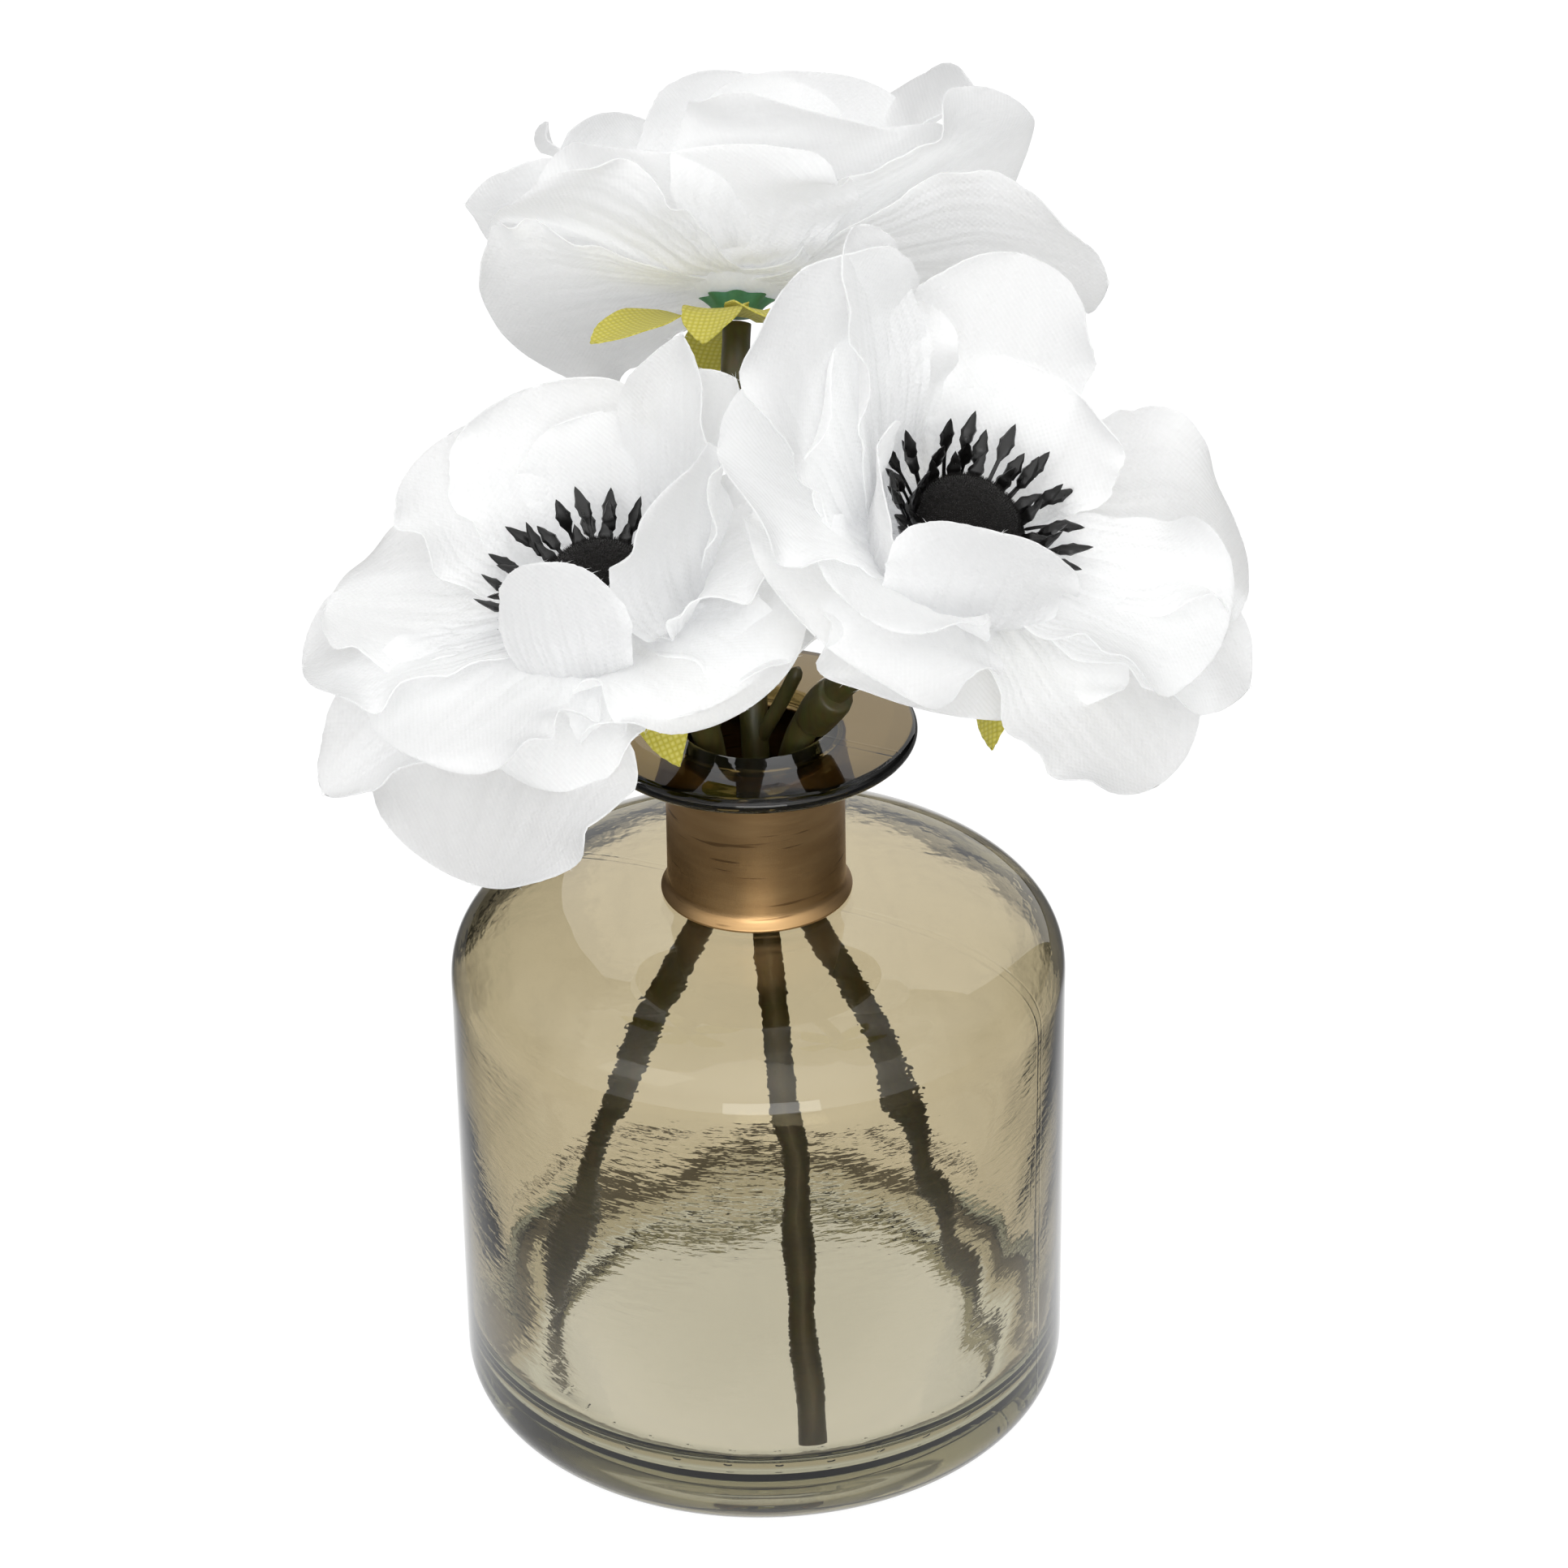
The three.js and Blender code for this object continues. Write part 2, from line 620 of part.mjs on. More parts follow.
for (const [name, lower] of Object.entries(stems)) {
  const route = [...lower, along(blooms[name], stemTop - 9), along(blooms[name], stemTop)];
  const pieces = [bar(route, STEM_RADIUS, 12, 8)];
  if (name === "right") pieces.push(bar(joint, STEM_RADIUS + 1.1, 1));
  if (name in stubs) pieces.push(bar(stubs[name], STUB_RADIUS, 2, 6));
  add(`stem_${name}`, fuse(pieces), "stem");
}

export default group;
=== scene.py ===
"""Three white cloth anemones in a smoked-glass bottle vase with a copper collar.

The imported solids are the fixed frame. Each section below makes one kind of piece as a
finer surface in their place. Shapes are worked out in millimetres, +Z up, with the
origin at the centre of the vase base and the photograph's camera on the -Y side.
"""

import bmesh
import bpy
import numpy as np
from mathutils import Matrix, Vector


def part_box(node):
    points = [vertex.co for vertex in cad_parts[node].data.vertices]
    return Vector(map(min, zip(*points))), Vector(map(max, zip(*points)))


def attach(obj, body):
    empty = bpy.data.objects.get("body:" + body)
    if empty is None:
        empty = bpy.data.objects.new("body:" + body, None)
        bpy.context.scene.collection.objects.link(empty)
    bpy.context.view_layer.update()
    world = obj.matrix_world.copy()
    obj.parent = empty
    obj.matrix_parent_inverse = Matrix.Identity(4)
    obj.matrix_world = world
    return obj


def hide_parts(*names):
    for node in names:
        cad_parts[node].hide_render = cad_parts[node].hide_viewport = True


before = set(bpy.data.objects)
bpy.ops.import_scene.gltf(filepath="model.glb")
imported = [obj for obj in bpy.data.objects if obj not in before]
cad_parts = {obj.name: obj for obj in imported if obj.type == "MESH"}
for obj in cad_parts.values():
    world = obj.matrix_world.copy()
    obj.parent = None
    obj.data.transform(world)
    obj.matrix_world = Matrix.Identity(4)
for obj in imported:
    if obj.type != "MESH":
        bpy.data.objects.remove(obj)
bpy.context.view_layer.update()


# Bottle
# Mould-blown soda-lime glass with a smoky coat: a straight body on a heavy floor, a
# rounded shoulder, a narrow neck and a thick flat lip. The blown inside is a bit wavy.
MM = 0.001
BODY_RADIUS = 52.5
FOOT_ROUNDING = 9.0
SHOULDER_START = 82.0
SHOULDER_TOP = 98.0
SHOULDER_FULLNESS = 0.8
NECK_RADIUS = 13.5
BORE_RADIUS = 11.6
WALL = 2.6
FLOOR = 9.0
FLOOR_ROUNDING = 10.0
PUNT = 4.4
PUNT_RADIUS = 41.5
LIP_RADIUS = 27.3
LIP_UNDERSIDE = 127.1
LIP_ROOT = 2.2
LIP_EDGE = 1.45
MOUTH_EDGE = 1.6
VASE_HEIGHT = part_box("glass_bottle")[1].z / MM
GLASS_SIDES = 256


def arc(radius, height, rounding, start, end, steps):
    """Points of a circular rounding about (radius, height) from one angle to another."""
    t = np.radians(np.linspace(start, end, steps))
    return np.stack([radius + rounding * np.cos(t), height + rounding * np.sin(t)], -1)


def shoulder(offset, steps):
    """Superellipse from the body wall to the neck, radius along cos(t)^fullness and
    height along sin(t)^fullness, moved in and down by offset."""
    t = np.linspace(0, np.pi / 2, steps)
    r = NECK_RADIUS + (BODY_RADIUS - NECK_RADIUS) * np.cos(t) ** SHOULDER_FULLNESS
    z = SHOULDER_START + (SHOULDER_TOP - SHOULDER_START) * np.sin(t) ** SHOULDER_FULLNESS
    return np.stack([r - offset, z - offset], -1)


outside = np.concatenate([
    [[0, PUNT], [20, PUNT], [PUNT_RADIUS - 8.5, PUNT], [PUNT_RADIUS - 4.5, 0.85 * PUNT]],
    [[PUNT_RADIUS - 1.5, 0.2 * PUNT], [PUNT_RADIUS, 0], [PUNT_RADIUS + 1, 0]],
    arc(BODY_RADIUS - FOOT_ROUNDING, FOOT_ROUNDING, FOOT_ROUNDING, -90, 0, 14),
    np.stack([np.full(24, BODY_RADIUS), np.linspace(FOOT_ROUNDING + 3, SHOULDER_START - 2, 24)], -1),
    shoulder(0, 34)[:-1],
    [[NECK_RADIUS, SHOULDER_TOP + 0.6], [NECK_RADIUS, 110], [NECK_RADIUS, 120]],
    arc(NECK_RADIUS + LIP_ROOT, LIP_UNDERSIDE - LIP_ROOT, LIP_ROOT, 180, 90, 7),
    arc(LIP_RADIUS - LIP_EDGE, (LIP_UNDERSIDE + VASE_HEIGHT) / 2, LIP_EDGE, -90, 90, 11),
])
wall_heights = np.linspace(SHOULDER_START - 6, FLOOR + FLOOR_ROUNDING + 1, 30)
inside = np.concatenate([
    arc(BORE_RADIUS + MOUTH_EDGE, VASE_HEIGHT - MOUTH_EDGE, MOUTH_EDGE, 90, 180, 7),
    [[BORE_RADIUS, 122], [BORE_RADIUS, 110], [BORE_RADIUS, SHOULDER_TOP - WALL + 1]],
    shoulder(WALL, 34)[::-1][1:],
    np.stack([np.full(30, BODY_RADIUS - WALL), wall_heights], -1),
    arc(BODY_RADIUS - WALL - FLOOR_ROUNDING, FLOOR + FLOOR_ROUNDING, FLOOR_ROUNDING, 0, -90, 14),
    [[30, FLOOR], [15, FLOOR + 0.4], [0, FLOOR + 0.6]],
])


def blown_waves(radius, height, turn):
    """How far the blown inside strays, in mm: a three-sided wave of 0.32, a seven-sided
    one of 0.16 and a fine one of 0.07, which shift as they climb the wall. Their sum
    fades out toward the neck and toward the floor."""
    stray = (0.32 * np.sin(3 * turn + 0.8) * np.sin(height / 15)
             + 0.16 * np.sin(7 * turn + height / 7) + 0.07 * np.sin(17 * turn - height / 4))
    return stray * (np.clip((radius - 14) / 20, 0, 1) * np.clip((height - 12) / 10, 0, 1))


def revolve(radii, heights, sides):
    """Turned surface: point (i, k) is profile point i carried to angle 2 pi k / sides.
    Radii may be one column, or one row per profile point with a value for each side."""
    turn = np.arange(sides) * 2 * np.pi / sides
    radii = np.broadcast_to(np.atleast_2d(np.asarray(radii).T).T, (len(heights), sides))
    rise = np.broadcast_to(np.asarray(heights)[:, None], radii.shape)
    return np.stack([radii * np.cos(turn), radii * np.sin(turn), rise], -1)


def wrap_quads(rows, columns, ring=False):
    """Corner numbers of the faces of a grid whose last column joins its first; with
    ring, the last row joins the first row too."""
    at = np.arange(rows * columns).reshape(rows, columns)
    low = at if ring else at[:-1]
    high = np.roll(at, -1, 0) if ring else at[1:]
    faces = [low, np.roll(low, -1, 1), np.roll(high, -1, 1), high]
    return np.stack(faces, -1).reshape(-1, 4)


turn = np.arange(GLASS_SIDES) * 2 * np.pi / GLASS_SIDES
in_radius, in_height = inside[:, :1], inside[:, 1:]
blown = in_radius + blown_waves(in_radius, in_height, turn)
radii = np.concatenate([np.repeat(outside[:, :1], GLASS_SIDES, 1), blown])
heights = np.concatenate([outside[:, 1], inside[:, 1]])
bottle_shell = (revolve(radii, heights, GLASS_SIDES), wrap_quads(len(heights), GLASS_SIDES))

# Where the finishes lie, as the bottle's own map. Across: 0 on the blown wall inside, 0.5
# on the smooth floor and underside, 1 where the coat is sprayed. Up: how strongly the
# two dark lines round the floor, a painted dark reflection, are drawn, the higher one on
# the far half only.
COAT_START = 43
COAT_FADE = 4
SMOOTH_HEIGHT = 16
SMOOTH_FADE = 14
LOW_LINE = 3
HIGH_LINE = 12
LINE_WIDTH = 3.4
LINE_START = 42


def ease(x):
    """Smooth step from 0 to 1, x^2 (3 - 2 x)."""
    x = np.clip(x, 0, 1)
    return x * x * (3 - 2 * x)


sprayed = 0.5 + 0.5 * ease((outside[:, 0] - COAT_START) / COAT_FADE)
sprayed = np.where(outside[:, 1] > SHOULDER_START, 1, sprayed)
smooth = 0.5 - 0.5 * ease((inside[:, 1] - SMOOTH_HEIGHT) / SMOOTH_FADE)
finish = np.repeat(np.concatenate([sprayed, smooth]), GLASS_SIDES)
# Painted dark reflection: two lines on the inside just above the floor, the higher one on the far half
# only.
low_painted_line = 1 - np.abs(in_height - FLOOR - LOW_LINE) / LINE_WIDTH
high_painted_line = 1 - np.abs(in_height - FLOOR - HIGH_LINE) / LINE_WIDTH
high_painted_line = 0.8 * high_painted_line * np.clip(1.5 * np.sin(turn), 0, 1)
lines = np.clip(np.maximum(low_painted_line, high_painted_line), 0, 1) * ease((in_radius - LINE_START) / 3)
lines = np.concatenate([np.zeros(len(outside) * GLASS_SIDES), lines.ravel()])
coat = np.stack([finish, lines], -1)


def linear(code):
    """Turns an sRGB hex colour such as "c9b65d" to linear light, with an alpha of 1."""
    parts = np.array([int(code[i:i + 2], 16) for i in (0, 2, 4)]) / 255
    light = np.where(parts <= 0.04045, parts / 12.92, ((parts + 0.055) / 1.055) ** 2.4)
    return (*light.tolist(), 1.0)


def new_material(name):
    """An empty node material: returns it with its tree and its output node."""
    material = bpy.data.materials.new(name)
    material.use_nodes = True
    tree = material.node_tree
    tree.nodes.clear()
    return material, tree, tree.nodes.new("ShaderNodeOutputMaterial")


def add_node(tree, kind, **inputs):
    """Adds a node, with kind as its type's name after ShaderNode. Lower-case names set its
    properties. The rest are its inputs, each given a value, a socket, or a node whose
    first output is taken: their names have underscores for spaces, or are i and the
    input's number, such as i6 and i7 for the two colours of a Mix node."""
    node = tree.nodes.new("ShaderNode" + kind)
    for key, value in inputs.items():
        numbered = key[0] == "i" and key[1:].isdigit()
        if key.islower() and not numbered:
            setattr(node, key, value)
            continue
        socket = node.inputs[int(key[1:]) if numbered else key.replace("_", " ")]
        if isinstance(value, bpy.types.Node):
            value = value.outputs[0]
        if isinstance(value, bpy.types.NodeSocket):
            tree.links.new(value, socket)
        else:
            socket.default_value = value
    return node


# Smoked soda-lime glass. The glass itself has a faint grey green that only long ways
# through the heel bring out, and a sprayed smoky olive coat outside, from the heel up,
# gives the body its colour. Stipple dots round the heel and two mould seams catch the
# light, and the uneven blown inside makes the stems look torn. Three dark tints are
# painted shade and painted reflection, drawn to match the photograph, and the real glass
# may have none of them: the lip is darker, painted shade; the coat darkens where it is
# seen edge on, a painted dark reflection at the outline; and torn dark lines run round
# the floor, a painted dark reflection.
RIPPLE = 14.0
UNEVEN = 1.1
JAG = 3.5
HEEL_RADIUS = 47.0
DOT_SPACING = 9.6
DOT_HEIGHT = 1.5
DOT_RADIUS = 0.8
SEAM_ANGLE = -0.45
SEAM_WIDTH = 0.35
LIP_SHADE_FADE = 6
glass, tree, out = new_material("smoked_soda_lime_glass")
place = add_node(tree, "TexCoord").outputs["Object"]
around = add_node(tree, "TexGradient", gradient_type="RADIAL", Vector=place)
dots_round = round(2 * np.pi * HEEL_RADIUS / DOT_SPACING)
column = add_node(tree, "Math", operation="MULTIPLY", i0=around, i1=dots_round)
split = add_node(tree, "SeparateXYZ", Vector=place)
row = add_node(tree, "MapRange", Value=split.outputs[2], To_Min=-0.5, To_Max=0.5,
               From_Min=(DOT_HEIGHT - DOT_SPACING / 2) * MM,
               From_Max=(DOT_HEIGHT + DOT_SPACING / 2) * MM)
cell = add_node(tree, "CombineXYZ", X=column, Y=row)
dots = add_node(tree, "TexVoronoi", voronoi_dimensions="2D", Vector=cell, Scale=1.0, Randomness=0.0)
dot = add_node(tree, "MapRange", Value=dots, From_Min=0.0,
               From_Max=DOT_RADIUS / DOT_SPACING, To_Min=1.0, To_Max=0.0)
faced = add_node(tree, "Mapping", Vector=place, Rotation=(0, 0, -SEAM_ANGLE))
halves = add_node(tree, "SeparateXYZ", Vector=faced)
apart = add_node(tree, "Math", operation="ABSOLUTE", i0=halves.outputs[1])
seam = add_node(tree, "MapRange", Value=apart, From_Min=0.0,
                From_Max=SEAM_WIDTH * MM, To_Min=0.025, To_Max=0.0)
relief = add_node(tree, "Math", operation="MAXIMUM", i0=dot, i1=seam)
marks = add_node(tree, "Bump", Strength=1.0, Distance=0.9 * MM, Height=relief)
ripple = add_node(tree, "TexNoise", Vector=place, Scale=1 / (RIPPLE * MM), Detail=1.0)
soft = add_node(tree, "Bump", Strength=0.12, Distance=0.6 * MM, Height=ripple, Normal=marks)
drawn = add_node(tree, "Mapping", Vector=place, Scale=(0.3, 0.3, 1.0))
uneven = add_node(tree, "TexNoise", Vector=drawn, Scale=1 / (UNEVEN * MM), Detail=2.0)
coat_map = add_node(tree, "UVMap", uv_map="coat")
coated = add_node(tree, "SeparateXYZ", Vector=coat_map)
uneven_depth = add_node(tree, "MapRange", Value=coated, From_Max=0.5, To_Min=0.65, To_Max=0.0)
blown_skin = add_node(tree, "Bump", Strength=uneven_depth, Distance=0.12 * MM,
                      Height=uneven, Normal=soft)
thick = add_node(tree, "MapRange", Value=coated, From_Min=0.5)
smoke = add_node(tree, "Mix", data_type="RGBA", Factor=thick, i6=(1, 1, 1, 1), i7=linear("d5c4a2"))
# Painted shade: the lip's colour is mixed toward a dark olive brown, fading in just below its
# underside.
lip_shade_mask = add_node(tree, "MapRange", Value=split.outputs[2],
                  From_Min=(LIP_UNDERSIDE - LIP_SHADE_FADE) * MM, From_Max=LIP_UNDERSIDE * MM)
lip_painted_shade = add_node(tree, "Mix", data_type="RGBA", Factor=lip_shade_mask,
               i6=smoke.outputs[2], i7=linear("806b42"))
# Painted dark reflection: noise tears the two lines from the map into a band that is mixed toward near
# black.
drift = add_node(tree, "TexNoise", Vector=place, Scale=1 / (JAG * MM), Detail=3.0)
torn = add_node(tree, "Math", operation="MULTIPLY_ADD", i0=drift, i1=1.2, i2=coated.outputs[1])
painted_dark_band = add_node(tree, "MapRange", Value=torn, From_Min=1.0, From_Max=1.16)
ring = add_node(tree, "Mix", data_type="RGBA", Factor=painted_dark_band,
                i6=lip_painted_shade.outputs[2], i7=linear("302c26"))
# Painted dark reflection: where the coated glass is seen edge on, its colour is mixed toward near
# black at the outline.
edge_on = add_node(tree, "LayerWeight", Blend=0.5)
grazing = add_node(tree, "MapRange", Value=edge_on.outputs["Facing"], From_Min=0.62, From_Max=0.84)
rim = add_node(tree, "Math", operation="MULTIPLY", i0=grazing, i1=thick)
painted_dark_outline = add_node(tree, "Mix", data_type="RGBA", Factor=rim, i6=ring.outputs[2], i7=linear("2a2620"))
shader = add_node(tree, "BsdfPrincipled", Base_Color=painted_dark_outline.outputs[2],
                  Roughness=0.0, IOR=1.5, Transmission_Weight=1.0, Normal=blown_skin)
depth = add_node(tree, "VolumeAbsorption", Color=linear("7f8a60"), Density=56.0)
tree.links.new(shader.outputs[0], out.inputs["Surface"])
tree.links.new(depth.outputs[0], out.inputs["Volume"])


def make_piece(name, shells, material, slot, *nodes, crease=40, maps=None):
    """Joins shells, each a pair of points (n, 3) and faces (m, 4), into one object that
    rides on the root, stands for the named nodes, and has a UV map for each of maps. It
    is shaded smooth, and sharp where faces turn by more than crease degrees."""
    points = np.concatenate([p.reshape(-1, 3) for p, _ in shells]) * MM
    starts = np.cumsum([0] + [p.size // 3 for p, _ in shells[:-1]])
    faces = np.concatenate([f + s for (_, f), s in zip(shells, starts)])
    mesh = bpy.data.meshes.new(name)
    mesh.vertices.add(len(points))
    mesh.vertices.foreach_set("co", points.astype(np.float32).ravel())
    mesh.loops.add(faces.size)
    mesh.loops.foreach_set("vertex_index", faces.astype(np.int32).ravel())
    mesh.polygons.add(len(faces))
    mesh.polygons.foreach_set("loop_start", np.arange(0, faces.size, 4, dtype=np.int32))
    mesh.update(calc_edges=True)
    for key, table in (maps or {}).items():
        layer = mesh.uv_layers.new(name=key)
        layer.data.foreach_set("uv", table[faces.ravel()].astype(np.float32).ravel())
    body = bmesh.new()
    body.from_mesh(mesh)
    bmesh.ops.remove_doubles(body, verts=body.verts, dist=1e-6)
    bmesh.ops.dissolve_degenerate(body, edges=body.edges, dist=1e-7)
    body.to_mesh(mesh)
    body.free()
    mesh.shade_smooth()
    mesh.set_sharp_from_angle(angle=np.radians(crease))
    piece = bpy.data.objects.new(name, mesh)
    bpy.context.scene.collection.objects.link(piece)
    mesh.materials.append(material)
    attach(piece, "root")
    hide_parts(*nodes)


make_piece("bottle", [bottle_shell], glass, "smoked_glass", "glass_bottle", maps={"coat": coat})


# Collar
# A spun copper sleeve slipped round the neck, satin brushed along its turn, with a
# small rolled flare where it meets the shoulder and a fine bright lower edge.
COLLAR_RADIUS = 15.15
COLLAR_FLARE = 1.1
COLLAR_EDGE = 0.4
COLLAR_ROOM = 0.3
COLLAR_SIDES = 160
collar_low, collar_high = (corner.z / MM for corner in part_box("copper_collar"))
sleeve = np.concatenate([
    arc(COLLAR_RADIUS + COLLAR_FLARE - COLLAR_EDGE, collar_low + COLLAR_EDGE, COLLAR_EDGE, -90, 40, 7),
    [[COLLAR_RADIUS + 0.45, collar_low + 1.5], [COLLAR_RADIUS + 0.12, collar_low + 2.3]],
    [[COLLAR_RADIUS, collar_low + 3.2], [COLLAR_RADIUS - 0.06, collar_low + 14]],
    arc(COLLAR_RADIUS - COLLAR_EDGE, collar_high - COLLAR_EDGE, COLLAR_EDGE, 0, 90, 5),
    [[NECK_RADIUS + COLLAR_ROOM, collar_high], [NECK_RADIUS + COLLAR_ROOM, collar_low]],
])


def mottled(tree, size, detail, dark, light, stretch=(1, 1, 1)):
    """A cloudy pattern through the piece with patches of a size in mm, and a tone that
    goes with it from dark to light. Stretch makes patches longer where it is below 1."""
    place = add_node(tree, "TexCoord").outputs["Object"]
    drawn = add_node(tree, "Mapping", Vector=place, Scale=stretch)
    cloud = add_node(tree, "TexNoise", Vector=drawn, Scale=1 / (size * MM), Detail=detail)
    tone = add_node(tree, "Mix", data_type="RGBA", Factor=cloud, i6=linear(dark), i7=linear(light))
    return cloud, tone.outputs[2]


# Brushed satin copper, dulled to bronze: fine turning lines stretch the highlights
# round the sleeve, broad bands vary its tone, and a few darker scratches cross them.
TURNING = 0.4
BAND = 2.4
SCRATCH = 0.8
copper, tree, out = new_material("brushed_satin_copper")
place = add_node(tree, "TexCoord").outputs["Object"]
fine = add_node(tree, "Mapping", Vector=place, Scale=(0.024, 0.024, 1.0))
lines = add_node(tree, "TexNoise", Vector=fine, Scale=1 / (TURNING * MM), Detail=4.0, Roughness=0.7)
_, tone = mottled(tree, BAND, 2.0, "b08a5c", "d6b07e", stretch=(0.2, 0.2, 1.0))
long = add_node(tree, "Mapping", Vector=place, Scale=(0.07, 0.07, 1.0))
nicks = add_node(tree, "TexNoise", Vector=long, Scale=1 / (SCRATCH * MM), Detail=1.0)
scratch = add_node(tree, "MapRange", Value=nicks, From_Min=0.68, From_Max=0.74, To_Max=0.55)
worn = add_node(tree, "Mix", data_type="RGBA", Factor=scratch, i6=tone, i7=linear("5a4026"))
rough = add_node(tree, "MapRange", Value=lines, To_Min=0.24, To_Max=0.46)
grain = add_node(tree, "Bump", Strength=0.35, Distance=0.06 * MM, Height=lines)
shader = add_node(tree, "BsdfPrincipled", Base_Color=worn.outputs[2], Metallic=1.0,
                  Roughness=rough, Anisotropic=0.4, Normal=grain)
tree.links.new(shader.outputs[0], out.inputs["Surface"])

collar_turned = revolve(sleeve[:, 0], sleeve[:, 1], COLLAR_SIDES)
collar_shell = (collar_turned, wrap_quads(len(sleeve), COLLAR_SIDES, ring=True))
make_piece("collar", [collar_shell], copper, "copper", "copper_collar", crease=55)


# Stems
# Moulded polyethylene over a wire core, olive brown and satin: they splay on the vase
# floor, pass side by side through the neck and curve up to the three blooms.
STEM_RADIUS = 2.5
STEM_SIDES = 20
TWIG_RADIUS = 1.25
TWIG_SIDES = 14
JOINT_SWELL = 0.95
# Where each bloom's middle is and the way it faces, how far back along that way its stem
# ends and runs straight, and the points that the stem and its stub or joint pass.
CENTRES = {"left": (-24.2, -20, 164.5), "right": (33, -34, 181.5), "top": (-1.4, 38.1, 195)}
AXES = {"left": (-0.2, -0.12, 0.97), "right": (0.25, -0.35, 0.9), "top": (0.04, 0.62, 0.78)}
STEM_TOP = -9.25
STEM_STRAIGHT = 9
ROUTES = {
    "left": [(-38, 6, 10.05), (-22, 3, 62), (-7.6, -0.5, 96), (-6.3, -2.4, 118), (-10, -6, 136)],
    "right": [(37, 6, 10), (22, 3, 62), (7.3, -1, 96), (5.5, -2.3, 119), (9.2, -6.8, 134)],
    "top": [(8, -40, 10.3), (4.5, -18, 60), (0.9, -2, 96), (0.3, 4, 118), (-0.4, 11, 138)],
}
TWIGS = {
    "left": [(-8, -4, 128), (-5.4, -2, 135), (-3, 0.6, 143)],
    "top": [(1, 5, 124), (4.6, 4.6, 131), (7.6, 3.6, 138)],
    "right": [(9.6, -7.2, 133.5), (11.2, -9.2, 137), (12.7, -11.2, 140), (13.6, -12.4, 141.5)],
}


def turned_to(name):
    """Rows are a bloom's right, back and axis directions."""
    axis = np.array(AXES[name]) / np.linalg.norm(AXES[name])
    right = np.array([1.0, 0, 0]) - axis[0] * axis
    right /= np.linalg.norm(right)
    return np.stack([right, np.cross(axis, right), axis])


def curve_through(points, steps):
    """Centripetal Catmull-Rom curve: each span between two points is three rounds of
    straight blends of the four points about it, with knots spaced by the root of their
    distance. The ends lean on a point mirrored past each of them."""
    p = np.array(points, float)
    p = np.concatenate([[2 * p[0] - p[1]], p, [2 * p[-1] - p[-2]]])
    t = np.concatenate([[0], np.cumsum(np.linalg.norm(np.diff(p, axis=0), axis=1) ** 0.5)])
    a, b, c, d = (p[k:len(p) - 3 + k, None] for k in range(4))
    ta, tb, tc, td = (t[k:len(t) - 3 + k, None, None] for k in range(4))
    s = tb + (tc - tb) * np.linspace(0, 1, steps, endpoint=False)[None, :, None]

    def between(one, other, begin, end):
        return ((end - s) * one + (s - begin) * other) / (end - begin)

    ab = between(a, b, ta, tb)
    bc = between(b, c, tb, tc)
    cd = between(c, d, tc, td)
    inner = between(between(ab, bc, ta, tc), between(bc, cd, tb, td), tb, tc)
    return np.concatenate([inner.reshape(-1, 3), p[-2:-1]])


def tube(path, radii, sides):
    """Round section carried along a path, square to it, with a closed point at each end.
    Radii have a value for each path point, or one for each point and side."""
    along = np.gradient(path, axis=0)
    along /= np.linalg.norm(along, axis=1, keepdims=True)
    side = np.cross(along, [0.3, 1.0, 0.0])
    side /= np.linalg.norm(side, axis=1, keepdims=True)
    up = np.cross(along, side)
    angle = np.arange(sides) * 2 * np.pi / sides
    radii = np.broadcast_to(np.atleast_2d(np.asarray(radii).T).T, (len(path), sides))[..., None]
    ring = np.cos(angle)[:, None] * side[:, None] + np.sin(angle)[:, None] * up[:, None]
    body = path[:, None] + radii * ring
    ends = [np.repeat(path[[k], None], sides, 1) for k in (0, -1)]
    points = np.concatenate([ends[0], body, ends[1]])
    return points, wrap_quads(len(points), sides)


# Satin polyethylene in a dark olive brown, with blotches where the dye is uneven and
# lengthwise draw lines that break up its soft highlight.
BLOTCH = 6.0
DRAW_LINE = 1.1
moulded, tree, out = new_material("satin_olive_polyethylene")
place = add_node(tree, "TexCoord").outputs["Object"]
drawn = add_node(tree, "Mapping", Vector=place, Scale=(1.0, 1.0, 0.08))
streak = add_node(tree, "TexNoise", Vector=drawn, Scale=1 / (DRAW_LINE * MM), Detail=3.0)
_, tone = mottled(tree, BLOTCH, 2.0, "302b14", "554f26")
dyed = add_node(tree, "Mix", data_type="RGBA", blend_type="OVERLAY", Factor=0.35,
                i6=tone, i7=streak.outputs[1])
grain = add_node(tree, "Bump", Strength=0.5, Distance=0.15 * MM, Height=streak)
shader = add_node(tree, "BsdfPrincipled", Base_Color=dyed.outputs[2], Roughness=0.42, Normal=grain)
tree.links.new(shader.outputs[0], out.inputs["Surface"])

